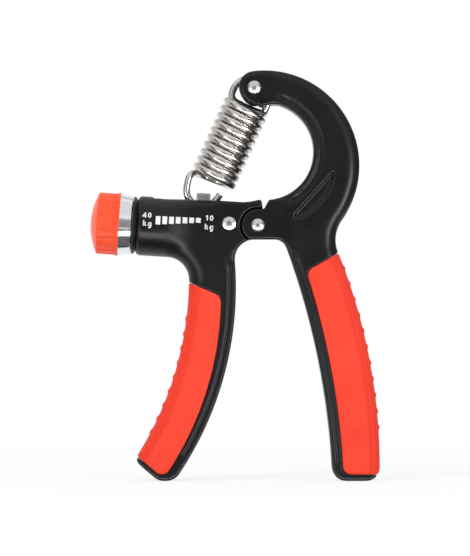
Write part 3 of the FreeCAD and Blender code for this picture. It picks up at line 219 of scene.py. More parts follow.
def softGripRubber(name):
    # thermoplastic rubber moulded over the core: an even matt skin with a faint bloom that
    # lightens it where it turns away, and a slightly darker tone in patches. The coarser band
    # along the ribs gets a deeper red, which is painted shade where it turns away from the light
    s = rubberSettings
    material, shader, place = startMaterial(name)
    patches = addNoise(material, place, s["patchSize"], s["patchDetail"])
    grain = addNoise(material, place, s["grainSize"], s["grainDetail"])
    tint = addTint(material, patches, (s["shadeUpTo"], s["shade"]), (s["baseFrom"], s["base"]))
    # painted shade: the ribbed band is mixed towards the deeper red
    side = addNode(material, "ShaderNodeAttribute", {"attribute_name": "ribbedSideShade"})
    paintedBandShade = addNode(material, "ShaderNodeMix", {"data_type": "RGBA"})
    paintedBandShade.inputs["B"].default_value = linearColour(s["ribbedBandShade"])
    link(material, side.outputs["Fac"], paintedBandShade.inputs["Factor"])
    link(material, tint, paintedBandShade.inputs["A"])
    link(material, paintedBandShade.outputs["Result"], shader.inputs["Base Color"])
    varyRoughness(material, shader, patches, s["roughLow"], s["roughHigh"])
    addRelief(material, shader, grain, s["grainStrength"], s["grainDepth"])
    shader.inputs["IOR"].default_value = s["ior"]
    shader.inputs["Sheen Weight"].default_value = s["sheen"]
    shader.inputs["Specular IOR Level"].default_value = s["gloss"]
    return material


metalSettings = {
    "markDetail": 4.0, "markRoughness": 0.6, "markStrength": 0.25,
    "cloudSize": 3.0, "cloudDetail": 2.0,
}


def workedMetal(name, colour, roughLow, roughHigh, markSize, markDepth):
    # plated, cast or turned metal: the surface keeps fine marks of how it was made, and its
    # brightness changes in small clouds
    s = metalSettings
    material, shader, place = startMaterial(name)
    marks = addNoise(material, place, markSize, s["markDetail"], s["markRoughness"])
    clouds = addNoise(material, place, s["cloudSize"], s["cloudDetail"])
    varyRoughness(material, shader, clouds, roughLow, roughHigh)
    addRelief(material, shader, marks, s["markStrength"], markDepth)
    shader.inputs["Base Color"].default_value = linearColour(colour)
    shader.inputs["Metallic"].default_value = 1.0
    return material


# deep black with a soft sheen along its edges
blackAbs = mouldedPlastic("black moulded ABS", "#0E0E13", "#141419", 0.31, 0.40, 0.03)
# bright orange, a little smoother than the handles
knobAbs = mouldedPlastic("orange moulded ABS knob", "#F04A26", "#FA5630", 0.26, 0.36, 0.02)
# duller black than the handles, so that the bush stands apart
bushAcetal = mouldedPlastic("black acetal bush", "#131316", "#1B1B1F", 0.42, 0.55, 0.02)
# milky white
naturalNylon = mouldedPlastic("natural nylon washer", "#D9D5C8", "#E6E2D6", 0.35, 0.5, 0.02)
# orange-red and matt
gripRubber = softGripRubber("overmoulded grip rubber")
# warm and bright, with broad soft highlights on the round wire
springNickel = workedMetal("nickel plated spring wire", "#DAD6D3", 0.20, 0.28, 1.5, 0.002)
# cooler and greyer than the wire
rivetZinc = workedMetal("bright zinc plated rivet", "#D6D6D8", 0.24, 0.32, 0.3, 0.008)
# the smoothest and brightest metal, with sharp dark and light bands
ringChrome = workedMetal("polished chrome ring", "#EAEAEC", 0.13, 0.19, 1.2, 0.01)
# dull grey, with a coarser skin
castZinc = workedMetal("tumbled zinc casting", "#C2C3C6", 0.28, 0.42, 0.4, 0.04)
# yellow, and hidden in the hinge
turnedBrass = workedMetal("turned brass sleeve", "#C9A765", 0.2, 0.3, 0.3, 0.02)
# flat off-white
scaleInk = mouldedPlastic("pad printed scale ink", "#D8D9DC", "#E8E8EA", 0.45, 0.6, 0.01)
print("materials ready")

# Pieces taken from the solids, with smooth shading.
copySettings = {"weld": 0.002, "flatAngle": 0.05, "sharpAngle": 30}


def mergedCopy(node, pieceName):
    # the solid's facets joined into one mesh, its flat faces whole again
    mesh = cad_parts[node].data.copy()
    mesh.materials.clear()
    shape = bmesh.new()
    shape.from_mesh(mesh)
    bmesh.ops.remove_doubles(shape, verts=shape.verts, dist=copySettings["weld"] * mm)
    bmesh.ops.dissolve_limit(shape, angle_limit=math.radians(copySettings["flatAngle"]),
                             verts=shape.verts, edges=shape.edges)
    shape.to_mesh(mesh)
    shape.free()
    return addObject(pieceName, mesh)


def finishPiece(piece, body, material, replaced=()):
    piece.data.materials.clear()
    piece.data.materials.append(material)
    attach(piece, body)
    if replaced:
        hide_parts(*replaced)


def shadeSmooth(piece, sharpAngle):
    for face in piece.data.polygons:
        face.use_smooth = True
    piece.data.set_sharp_from_angle(angle=math.radians(sharpAngle))
    weighted = piece.modifiers.new("even shading", "WEIGHTED_NORMAL")
    weighted.keep_sharp = True


mouldings = {
    # node: (piece, body, slot, material)
    "adjust_knob": ("fluted_knob", "knob", "knob_plastic", knobAbs),
    "knob_ring": ("bright_ring_band", "knob", "bright_ring", ringChrome),
    "knob_hub": ("knob_hub_moulding", "knob", "bush_plastic", bushAcetal),
    "knob_lock_nut": ("lock_nut_steel", "knob", "plated_steel", rivetZinc),
    "barrel_end_bush": ("end_bush_moulding", "left_handle", "bush_plastic", bushAcetal),
    "thrust_washer": ("thrust_ring", "left_handle", "washer_nylon", naturalNylon),
    "hinge_washers": ("hinge_washer_pair", "left_handle", "washer_nylon", naturalNylon),
    "pivot_sleeve": ("pivot_sleeve_turned", "left_handle", "sleeve_brass", turnedBrass),
    "traveller_nut": ("hook_nut_casting", "traveller", "cast_zinc", castZinc),
}
for node, (pieceName, body, slot, material) in mouldings.items():
    piece = mergedCopy(node, pieceName)
    finishPiece(piece, body, material, (node,))
    shadeSmooth(piece, copySettings["sharpAngle"])
print("mouldings ready")

# Handles: one even skin each, its edges softened as in the mould.
handleSettings = {
    "voxel": 0.42, "smoothing": 4,
    # along and across the barrel: the two creases where it meets the leg, and the stretch in
    # which its sides sink from the full round to the leg's flat
    "lowCrease": ((-37.0, -10.6), (-13.0, -11.5)), "lowReach": 6.0,
    "highCrease": ((-20.0, 6.0), (-13.0, 3.0)), "highReach": 4.0,
    "creaseSmoothing": 90, "creaseDepth": 6.0,
    "bulgeFrom": -36.0, "bulgeTo": -21.0, "flatHalf": 9.0,
    "toe": (-47.6, -90.5), "toeReach": 5.5,
    "grooveEnds": ((14.5, -10.6), (12.2, 9.8), (7.9, 50.1), (-11.4, -13.6)), "endReach": 4.5,
    "leafSide": ((28.9, 16.9), (25.2, 9.7), (19.9, 4.9), (15.8, 3.0)), "leafReach": 2.2,
    "leafShare": 0.5, "grooveSmoothing": 60, "grooveDepth": 7.0,
    "noseUnder": (-0.4, 46.6), "noseReach": 9.5, "noseSag": 1.6,
}
smoothSettings = {"factor": 0.5, "steepness": 1.6}


def evenSkin(piece, voxel, smoothing):
    # voxel remesh and a little smoothing, applied: every edge comes out slightly round
    remesh = piece.modifiers.new("even skin", "REMESH")
    remesh.mode = "VOXEL"
    remesh.voxel_size = voxel * mm
    settle = piece.modifiers.new("settle", "SMOOTH")
    settle.factor = smoothSettings["factor"]
    settle.iterations = smoothing
    applyModifiers(piece)
    for face in piece.data.polygons:
        face.use_smooth = True


def smoothWhere(piece, shares, iterations):
    # smooths a part of the skin; shares gives each of its vertices 0 at the rim to 1 inside
    group = piece.vertex_groups.new(name="shares")
    for index, share in shares.items():
        group.add([index], min(1, smoothSettings["steepness"] * share), "REPLACE")
    soften = piece.modifiers.new("soften", "SMOOTH")
    soften.factor = smoothSettings["factor"]
    soften.iterations = iterations
    soften.vertex_group = group.name
    applyModifiers(piece)
    piece.vertex_groups.clear()


def fadeGrooveEnds(piece):
    # the grooves of the bow and the legs run out softly, and so does the leaf's outer side
    s = handleSettings
    ends = [inFrame(*end) for end in s["grooveEnds"]]
    leafLines = list(zip(s["leafSide"], s["leafSide"][1:]))
    shares = {}
    for vertex in piece.data.vertices:
        if abs(vertex.co.y) <= s["grooveDepth"] * mm:
            continue
        near = min(distanceInPicture(vertex.co, end) for end in ends)
        place = fromPivot(vertex.co)
        beside = min(fromSegment(place, *line) for line in leafLines)
        share = max(1 - near / s["endReach"], s["leafShare"] * (1 - beside / s["leafReach"]))
        if share > 0:
            shares[vertex.index] = share
    smoothWhere(piece, shares, s["grooveSmoothing"])


def flowBarrelIntoLeg(piece):
    # the round of the barrel runs out into the leg without a crease, and the toe is rounded
    s = handleSettings
    toe = inFrame(*s["toe"])
    shares = {}
    for vertex in piece.data.vertices:
        nearToe = 1 - distanceInPicture(vertex.co, toe) / s["toeReach"]
        if nearToe > 0:
            shares[vertex.index] = nearToe
        if abs(vertex.co.y) < s["creaseDepth"] * mm:
            continue
        place = levelPoint(vertex.co)
        proud = abs(vertex.co.y) / mm - s["flatHalf"]
        if proud > 0 and place[0] > s["bulgeFrom"]:
            fade = smoothStep(min((place[0] - s["bulgeFrom"]) / (s["bulgeTo"] - s["bulgeFrom"]), 1))
            vertex.co.y = math.copysign((s["flatHalf"] + proud * (1 - fade)) * mm, vertex.co.y)
        low = 1 - fromSegment(place, *s["lowCrease"]) / s["lowReach"]
        high = 1 - fromSegment(place, *s["highCrease"]) / s["highReach"]
        share = max(low, high)
        if share > 0:
            shares[vertex.index] = share
    smoothWhere(piece, shares, s["creaseSmoothing"])


def sagUnderNose(piece):
    # the underside of the bow's nose hangs a little lower than a plain arc
    s = handleSettings
    under = inFrame(*s["noseUnder"])
    for vertex in piece.data.vertices:
        near = 1 - distanceInPicture(vertex.co, under) / s["noseReach"]
        if near > 0:
            vertex.co.z -= s["noseSag"] * smoothStep(near) * mm


rightHandle = mergedCopy("right_handle", "right_handle_moulding")
leftHandle = mergedCopy("left_handle", "left_handle_moulding")
for piece, body in ((rightHandle, "right_handle"), (leftHandle, "left_handle")):
    finishPiece(piece, body, blackAbs, (body,))
    evenSkin(piece, handleSettings["voxel"], handleSettings["smoothing"])
    fadeGrooveEnds(piece)
sagUnderNose(rightHandle)
flowBarrelIntoLeg(leftHandle)
print("handles ready", [len(p.data.polygons) for p in (rightHandle, leftHandle)])

# The bright band between knob and bush tapers a little.
bandSettings = {"straightRadius": 11.6, "atKnob": 12.15, "atBush": 11.35, "wall": 1.0}


def taperBand(piece):
    s = bandSettings
    places = [levelPoint(vertex.co) for vertex in piece.data.vertices]
    first, last = min(p[0] for p in places), max(p[0] for p in places)
    for vertex, (along, up) in zip(piece.data.vertices, places):
        side, up = vertex.co.y / mm, up - barrelAxisDrop
        if math.hypot(side, up) > s["straightRadius"] - s["wall"]:
            share = (along - first) / (last - first)
            grow = (s["atKnob"] + (s["atBush"] - s["atKnob"]) * share) / s["straightRadius"]
            vertex.co = fromBarrel(along, barrelAxisDrop + up * grow, side * grow)


taperBand(bpy.data.objects["bright_ring_band"])
print("band ready")

# Rivets: a plain shank with a low dome pressed at each end.
rivets = {
    # node: (piece, body, shank radius, head radius, head height)
    "pivot_rivet": ("pivot_rivet_domed", "right_handle", 2.0, 2.55, 1.1),
    "spring_pin": ("spring_pin_domed", "right_handle", 2.0, 2.6, 1.1),
    "screw_retaining_pin": ("retaining_pin_domed", "left_handle", 1.25, 2.6, 0.9),
}
rivetSettings = {
    # the head's edge stands up and is broken a little before the dome starts
    "edgeStand": 0.25, "edgeBreak": 0.1, "flatRadius": 0.35, "domeRings": 14, "sharpAngle": 50,
}
turnedSettings = {"steps": 48, "weld": 0.001}


def spunShaft(shape, outline):
    # turns (place along X, radius) points about the X axis
    verts = [shape.verts.new((x * mm, 0, r * mm)) for x, r in outline]
    edges = [shape.edges.new(pair) for pair in zip(verts, verts[1:])]
    bmesh.ops.spin(shape, geom=verts + edges, cent=(0, 0, 0), axis=(1, 0, 0), angle=2 * math.pi,
                   steps=turnedSettings["steps"], use_merge=True)


def turnedMesh(shape, name):
    bmesh.ops.remove_doubles(shape, verts=shape.verts, dist=turnedSettings["weld"] * mm)
    bmesh.ops.recalc_face_normals(shape, faces=shape.faces)
    return meshFrom(shape, name)


def domedRivet(node, pieceName, body, shank, head, height):
    s = rivetSettings
    low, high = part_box(node)
    middle = (low + high) / 2
    reach = (high.y - low.y) / 2 / mm
    seat = reach - height
    rise = height - s["edgeStand"]
    domeRadius = (head ** 2 + rise ** 2) / 2 / rise
    outline = [(seat, head - s["edgeBreak"]), (seat + s["edgeBreak"], head), (reach - rise, head)]
    for i in range(1, s["domeRings"] + 1):
        r = head + (s["flatRadius"] - head) * i / s["domeRings"]
        outline.append((reach - domeRadius + math.sqrt(domeRadius ** 2 - r ** 2), r))
    outline.append((reach, 0.0))
    shape = bmesh.new()
    for side in (-1, 1):
        spunShaft(shape, [(side * x, r) for x, r in outline])
    spunShaft(shape, [(-seat, shank), (seat, shank)])
    mesh = turnedMesh(shape, pieceName)
    mesh.transform(Matrix.Translation(middle) @ Matrix.Rotation(math.pi / 2, 4, "Z"))
    piece = addObject(pieceName, mesh)
    finishPiece(piece, body, rivetZinc, (node,))
    shadeSmooth(piece, s["sharpAngle"])


for node, values in rivets.items():
    domedRivet(node, *values)
print("rivets ready")

# Soft grips: an even skin whose sides swell. The swell is taken as an absolute value, so the
# sides rise in the middle and again at the rim, with a fine crease between.
gripSettings = {
    "voxel": 0.45, "smoothing": 5,
    "swell": 0.75, "crease": 0.35, "sideFrom": 7.5, "sideBlend": 2.5,
    # the ribbed band along the outer edge, its slope and how strongly painted shade deepens its red
    "bandWidth": 5.0, "bandSlope": 0.9, "bandShadeStrength": 0.75, "bandEdge": 3,
    # the arcs that the ribbed edges follow; the left one is measured along the barrel
    "rightCentre": (-177.027, -94.323), "rightPoint": (31.5, -11.0), "rightWidth": 17.0,
    "leftCentre": (-155.3, -30.0), "leftRadius": 130.0, "leftWidth": 15.5,
}


def rightDistance(point):
    # how far a place lies inside the ribbed edge
    s = gripSettings
    radius = math.dist(s["rightPoint"], s["rightCentre"])
    return radius - math.dist(fromPivot(point), s["rightCentre"])


def leftDistance(point):
    s = gripSettings
    return math.dist(levelPoint(point), s["leftCentre"]) - s["leftRadius"]


def softGrip(node, pieceName, body, distanceIn, width):
    s = gripSettings
    piece = mergedCopy(node, pieceName)
    finishPiece(piece, body, gripRubber, (node,))
    evenSkin(piece, s["voxel"], s["smoothing"])
    # each vertex's share of the painted shade on the ribbed band
    side = piece.data.attributes.new("ribbedSideShade", "FLOAT", "POINT")
    for vertex in piece.data.vertices:
        distance = distanceIn(vertex.co)
        band = min(max((s["bandWidth"] - distance) / s["bandWidth"], 0), 1)
        side.data[vertex.index].value = s["bandShadeStrength"] * min(band * s["bandEdge"], 1)
        depth = abs(vertex.co.y) / mm
        if depth < s["sideFrom"]:
            continue
        across = min(max(distance / width, 0), 1)
        lift = s["swell"] * math.sin(math.pi * across) - s["crease"] - s["bandSlope"] * band
        share = min((depth - s["sideFrom"]) / s["sideBlend"], 1)
        vertex.co.y += math.copysign(lift * share * mm, vertex.co.y)
    piece.visible_glossy = False  # matt rubber: no red in the chrome band and the barrel


softGrip("right_grip_pad", "right_soft_grip", "right_handle", rightDistance,
         gripSettings["rightWidth"])
softGrip("left_grip_pad", "left_soft_grip", "left_handle", leftDistance,
         gripSettings["leftWidth"])
print("soft grips ready")

# Spring: one wire, drawn as a tube along its path.
springSettings = {
    "wire": 2.8, "coilRadius": 7.9, "endRadius": 7.8, "pitch": 3.1, "turns": 10.5,
    "lean": 24.5, "startAngle": 22.0, "pin": (-1.4, 53.6), "coilDrop": 7.42, "coilAside": 0.15,
    # the loop over the pin; the tail, across and down from the pin, closes it underneath
    "loopRadius": 7.3, "loopDrop": 3.8, "loopAngle": 195.0,
    "tail": ((-2.6, 8.0), (1.0, 8.1), (4.4, 8.0)), "bendRoom": 2.5,
    "hook": (-21.4, 7.5), "hookRadius": 6.5, "hookStart": 168.0, "hookEnd": 325.0,
    "hookLead": 2.6, "hookTail": 2.3, "split": 0.35,
    "stepDegrees": 6.0, "sideSteps": 4, "tailSteps": 8, "bendSteps": 9, "bendPull": 0.42,
    "headingTurn": 0.01, "roundness": 8, "weld": 0.002, "sharpAngle": 50,
}
lean = math.radians(springSettings["lean"])
downAxis = Vector((-math.sin(lean), 0, -math.cos(lean)))
acrossAxis = Vector((math.cos(lean), 0, -math.sin(lean)))
startTurn = math.radians(springSettings["startAngle"])
endTurn = 2 * math.pi * springSettings["turns"] - startTurn
pinPoint = Vector((springSettings["pin"][0], 0, springSettings["pin"][1]))
coilTop = (pinPoint + downAxis * springSettings["coilDrop"]
           + acrossAxis * springSettings["coilAside"])


def coilAxisPoint(turn):
    return coilTop + downAxis * (springSettings["pitch"] * (turn - startTurn) / 2 / math.pi)


def coilPoint(turn):
    # the first and the last half turn are drawn in a little
    s = springSettings
    fade = max(0, 1 - (turn - startTurn) / math.pi, 1 - (endTurn - turn) / math.pi)
    radius = s["coilRadius"] + (s["endRadius"] - s["coilRadius"]) * fade
    aside = acrossAxis * (radius * math.cos(turn)) + Vector((0, radius * math.sin(turn), 0))
    return coilAxisPoint(turn) + aside


def loopPoint(turn):
    s = springSettings
    centre = pinPoint + downAxis * s["loopDrop"]
    across, down = s["loopRadius"] * math.cos(turn), s["loopRadius"] * math.sin(turn)
    return centre + acrossAxis * across - downAxis * down


def hookPoint(degrees):
    s = springSettings
    turn = math.radians(degrees)
    centre = Vector((s["hook"][0], 0, s["hook"][1] + s["hookRadius"]))
    return centre + Vector((math.cos(turn), 0, math.sin(turn))) * s["hookRadius"]


def hookHeading(degrees):
    turn = math.radians(degrees)
    return Vector((-math.sin(turn), 0, math.cos(turn)))


def eased(start, startHeading, end, endHeading, count):
    # points of a smooth bend between two places with given directions
    reach = (end - start).length * springSettings["bendPull"]
    a, b = start + startHeading * reach, end - endHeading * reach
    points = []
    for i in range(1, count):
        t = i / count
        points.append(start * (1 - t) ** 3 + a * 3 * t * (1 - t) ** 2
                      + b * 3 * t * t * (1 - t) + end * t ** 3)
    return points


def springPath():
    s = springSettings
    loopAngle = math.radians(s["loopAngle"])
    tail = [pinPoint + acrossAxis * across + downAxis * down for across, down in s["tail"]]
    tailHeading = acrossAxis * math.sin(loopAngle) + downAxis * math.cos(loopAngle)
    points = tail[::-1]
    points += eased(tail[0], -acrossAxis, loopPoint(loopAngle), tailHeading, s["tailSteps"])
    steps = int(s["loopAngle"] / s["stepDegrees"])
    points += [loopPoint(loopAngle * (1 - i / steps)) for i in range(steps + 1)]

    # down the side and round into the coil
    side = points[-1]
    depth = (coilPoint(startTurn) - pinPoint - downAxis * s["loopDrop"]).dot(downAxis)
    bend = downAxis * (depth - s["bendRoom"])
    points += [side + bend * i / s["sideSteps"] for i in range(1, s["sideSteps"] + 1)]
    heading = (coilPoint(startTurn + s["headingTurn"]) - coilPoint(startTurn)).normalized()
    points += eased(side + bend, downAxis, coilPoint(startTurn), heading, s["bendSteps"])
    steps = int(math.degrees(endTurn - startTurn) / s["stepDegrees"])
    coil = [coilPoint(startTurn + (endTurn - startTurn) * i / steps) for i in range(steps + 1)]
    cut = len(points) + int(len(coil) * s["split"])
    points += coil

    # out of the coil and round through the nut
    hookTop, hookDown = hookPoint(s["hookStart"]), hookHeading(s["hookStart"])
    lead = hookDown * s["hookLead"]
    heading = (coilPoint(endTurn) - coilPoint(endTurn - s["headingTurn"])).normalized()
    points += eased(coil[-1], heading, hookTop - lead, hookDown, s["bendSteps"])
    points += [hookTop - lead, hookTop - lead / 2]
    span = s["hookEnd"] - s["hookStart"]
    steps = int(span / s["stepDegrees"])
    points += [hookPoint(s["hookStart"] + span * i / steps) for i in range(steps + 1)]
    points.append(points[-1] + hookHeading(s["hookEnd"]) * s["hookTail"])
    return [inFrame(p.x, p.z, p.y) for p in points], cut


def tubeAlong(points, name):
    # a round wire along the points, cut off square and closed at both ends
    s = springSettings
    curve = bpy.data.curves.new(name, "CURVE")
    curve.dimensions = "3D"
    curve.bevel_depth = s["wire"] / 2 * mm
    curve.bevel_resolution = s["roundness"]
    curve.use_fill_caps = True
    spline = curve.splines.new("POLY")
    spline.points.add(len(points) - 1)
    for target, point in zip(spline.points, points):
        target.co = (*point, 1)
    holder = addObject(name + "_path", curve)
    mesh = solvedMesh(holder)
    bpy.data.objects.remove(holder)
    shape = bmesh.new()
    shape.from_mesh(mesh)
    bmesh.ops.remove_doubles(shape, verts=shape.verts, dist=s["weld"] * mm)
    for face in shape.faces:
        face.smooth = True
    bmesh.ops.recalc_face_normals(shape, faces=shape.faces)
    shape.to_mesh(mesh)
    shape.free()
    piece = addObject(name, mesh)
    piece.data.set_sharp_from_angle(angle=math.radians(s["sharpAngle"]))
    piece.data.materials.append(springNickel)
    return piece


path, cut = springPath()
upperWire = tubeAlong(path[:cut + 1], "spring_loop_and_top_coils")
lowerWire = tubeAlong(path[cut:], "spring_coils_and_hook")
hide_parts("spring_upper_loop")
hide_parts("spring_coils", "spring_lower_hook")
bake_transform(upperWire)
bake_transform(lowerWire)
print("spring ready")

# Screw with its thread, seen through the slot in the barrel.
screwSettings = {
    "radius": 3.0, "depth": 0.45, "pitch": 1.0, "threadStart": -44.0, "threadEnd": -16.0,
    "coreStart": -54.2, "coreEnd": -8.5, "neckStart": -12.55, "neckEnd": -9.85, "neck": 1.5,
    "headStart": -58.0, "headRadius": 5.0, "headLength": 4.0, "chamfer": 0.4,
    # the ridge keeps away from the thread's ends; its foot sinks into the core, its crest is flat
    "ridgeInset": 0.6, "ridgeFoot": 0.46, "footSink": 0.05, "crestHalf": 0.08,
    "stepsPerTurn": 20, "sharpAngle": 35,
}


def threadRidge(shape, root):
    # winds the ridge's section about the core
    s = screwSettings
    start = s["threadStart"] + s["ridgeInset"]
    turns = (s["threadEnd"] - s["threadStart"] - 2 * s["ridgeInset"]) / s["pitch"]
    half = s["pitch"] * s["ridgeFoot"]
    foot = root - s["footSink"]
    section = [(start - half, foot), (start - s["crestHalf"], s["radius"]),
               (start + s["crestHalf"], s["radius"]), (start + half, foot)]
    verts = [shape.verts.new((x * mm, 0, r * mm)) for x, r in section]
    for pair in zip(verts, verts[1:] + verts[:1]):
        shape.edges.new(pair)
    startFace = shape.faces.new(verts)
    advance = s["pitch"] * mm / s["stepsPerTurn"]
    spun = bmesh.ops.spin(shape, geom=list(startFace.edges) + verts, cent=(0, 0, 0),
                          axis=(1, 0, 0), dvec=(advance, 0, 0), angle=2 * math.pi * turns,
                          steps=int(turns * s["stepsPerTurn"]))
    lastEdges = [g for g in spun["geom_last"] if isinstance(g, bmesh.types.BMEdge)]
    bmesh.ops.contextual_create(shape, geom=lastEdges)


def threadedScrew(name):
    s = screwSettings
    root = s["radius"] - s["depth"]
    shape = bmesh.new()
    spunShaft(shape, [
        (s["coreStart"], 0.0), (s["coreStart"], s["radius"]), (s["threadStart"], s["radius"]),
        (s["threadStart"] + s["chamfer"], root), (s["threadEnd"] - s["chamfer"], root),
        (s["threadEnd"], s["radius"]), (s["neckStart"], s["radius"]),
        (s["neckStart"], s["neck"]), (s["neckEnd"], s["neck"]), (s["neckEnd"], s["radius"]),
        (s["coreEnd"] - s["chamfer"], s["radius"]), (s["coreEnd"], s["radius"] - s["chamfer"]),
        (s["coreEnd"], 0.0),
    ])
    head = bmesh.ops.create_cone(shape, cap_ends=True, segments=6, depth=s["headLength"] * mm,
                                 radius1=s["headRadius"] * mm, radius2=s["headRadius"] * mm)
    bmesh.ops.rotate(shape, verts=head["verts"], matrix=Matrix.Rotation(math.pi / 2, 3, "Y"))
    bmesh.ops.translate(shape, verts=head["verts"],
                        vec=((s["headStart"] + s["headLength"] / 2) * mm, 0, 0))
    threadRidge(shape, root)
    mesh = turnedMesh(shape, name)
    # made along its own X axis, it moves onto the barrel's axis
    place = Matrix.Translation(fromBarrel(0, barrelAxisDrop))
    mesh.transform(place @ Matrix.Rotation(barrelTilt, 4, "Y"))
    return addObject(name, mesh)


screwPiece = threadedScrew("threaded_screw")
finishPiece(screwPiece, "knob", rivetZinc, ("adjusting_screw",))
shadeSmooth(screwPiece, screwSettings["sharpAngle"])
print("screw ready")

# Printed scale on the barrel: generic load numbers and bars.
printSettings = {
    "digitHeight": 2.05, "unitHeight": 2.2, "stroke": 0.48, "spacing": 0.25, "ringSteps": 24,
    # (word, its middle along the barrel, its middle across the barrel)
    "words": (("40", -43.2, 1.27), ("kg", -42.95, -1.92), ("10", -19.0, 1.63),
              ("kg", -18.95, -1.74)),
    # the bars grow shorter and rise a little from the first to the last
    "bars": 7, "barStart": -39.74, "barPitch": 2.6, "barWidth": 1.83,
    "barHeight": (3.25, 1.88), "barLevel": (-0.53, 0.46),
    # the ink stands proud of the barrel; it is sliced so that it can follow the round
    "stand": 0.05, "thickness": 0.08, "slice": 0.5, "slices": 10, "rayFrom": -50.0,
}
letterStrokes = {
    # plain sans letters of height 1: rings, as (middle x, middle z, half width, half height),
    # then the middle lines of the straight strokes, then the width
    "0": ([(0.33, 0.5, 0.23, 0.40)], [], 0.66),
    "1": ([], [[(0.36, 0.0), (0.36, 1.0)], [(0.36, 0.92), (0.06, 0.72)]], 0.58),
    "4": ([], [[(0.52, 0.0), (0.52, 1.0)], [(0.50, 0.92), (0.06, 0.27), (0.74, 0.27)]], 0.74),
    "k": ([], [[(0.12, 0.0), (0.12, 1.0)], [(0.12, 0.26), (0.50, 0.68)],
               [(0.26, 0.42), (0.56, 0.0)]], 0.62),
    "g": ([(0.32, 0.33, 0.21, 0.28)],
          [[(0.55, 0.70), (0.55, -0.10), (0.46, -0.23), (0.30, -0.27), (0.12, -0.20)]], 0.66),
}


def strokeRibbon(flat, points, width, closed=False):
    # a flat ribbon along the middle line of a stroke
    line = bpy.data.curves.new("stroke", "CURVE")
    line.dimensions = "2D"
    line.fill_mode = "NONE"
    spline = line.splines.new("POLY")
    spline.points.add(len(points) - 1)
    for target, (x, z) in zip(spline.points, points):
        target.co = (x, z, 0, 1)
    spline.use_cyclic_u = closed
    nib = bpy.data.curves.new("nib", "CURVE")
    nibSpline = nib.splines.new("POLY")
    nibSpline.points.add(1)
    nibSpline.points[0].co = (-width / 2, 0, 0, 1)
    nibSpline.points[1].co = (width / 2, 0, 0, 1)
    holders = [addObject("nib", nib), addObject("stroke", line)]
    line.bevel_mode = "OBJECT"
    line.bevel_object = holders[0]
    flat.from_mesh(solvedMesh(holders[1]))
    for holder in holders:
        bpy.data.objects.remove(holder)


def flatWord(flat, word, x, z, height):
    s = printSettings
    gap = s["spacing"] * height
    total = sum(letterStrokes[c][2] * height for c in word) + gap * (len(word) - 1)
    left = x - total / 2
    base = z - height / 2
    turns = [2 * math.pi * i / s["ringSteps"] for i in range(s["ringSteps"])]
    for letter in word:
        rings, strokes, width = letterStrokes[letter]
        for cx, cz, halfWidth, halfHeight in rings:
            ring = [(left + (cx + halfWidth * math.cos(turn)) * height,
                     base + (cz + halfHeight * math.sin(turn)) * height) for turn in turns]
            strokeRibbon(flat, ring, s["stroke"], True)
        for stroke in strokes:
            line = [(left + a * height, base + b * height) for a, b in stroke]
            strokeRibbon(flat, line, s["stroke"])
        left += width * height + gap


def flatBars(flat):
    s = printSettings
    for i in range(s["bars"]):
        share = i / (s["bars"] - 1)
        tall, level = (first + (last - first) * share
                       for first, last in (s["barHeight"], s["barLevel"]))
        x = s["barStart"] + s["barPitch"] * i + s["barWidth"] / 2
        bar = bmesh.ops.create_grid(flat, x_segments=1, y_segments=1, size=0.5)
        bmesh.ops.scale(flat, verts=bar["verts"], vec=(s["barWidth"], tall, 1))
        bmesh.ops.translate(flat, verts=bar["verts"], vec=(x, level, 0))


def printedScale(name):
    s = printSettings
    flat = bmesh.new()
    for word, x, z in s["words"]:
        flatWord(flat, word, x, z, s["digitHeight"] if word.isdigit() else s["unitHeight"])
    flatBars(flat)
    for i in range(-s["slices"], s["slices"] + 1):
        bmesh.ops.bisect_plane(flat, geom=flat.verts[:] + flat.edges[:] + flat.faces[:],
                               plane_co=(0, i * s["slice"], 0), plane_no=(0, 1, 0), dist=1e-5)
    bmesh.ops.triangulate(flat, faces=flat.faces)
    bmesh.ops.recalc_face_normals(flat, faces=flat.faces)
    skin = leftHandle.data
    surface = BVHTree.FromPolygons([v.co for v in skin.vertices],
                                   [tuple(p.vertices) for p in skin.polygons])
    for vertex in flat.verts:
        place = fromBarrel(vertex.co.x, vertex.co.y)
        start = Vector((place.x, s["rayFrom"] * mm, place.z))
        hit = surface.ray_cast(start, Vector((0, 1, 0)))[0]
        vertex.co = Vector((place.x, hit.y - s["stand"] * mm, place.z))
    grown = bmesh.ops.extrude_face_region(flat, geom=list(flat.faces))
    inner = [g for g in grown["geom"] if isinstance(g, bmesh.types.BMVert)]
    bmesh.ops.translate(flat, verts=inner, vec=(0, s["thickness"] * mm, 0))
    bmesh.ops.recalc_face_normals(flat, faces=flat.faces)
    return addObject(name, meshFrom(flat, name))


finishPiece(printedScale("printed_load_scale"), "left_handle", scaleInk)
print("printed scale ready")

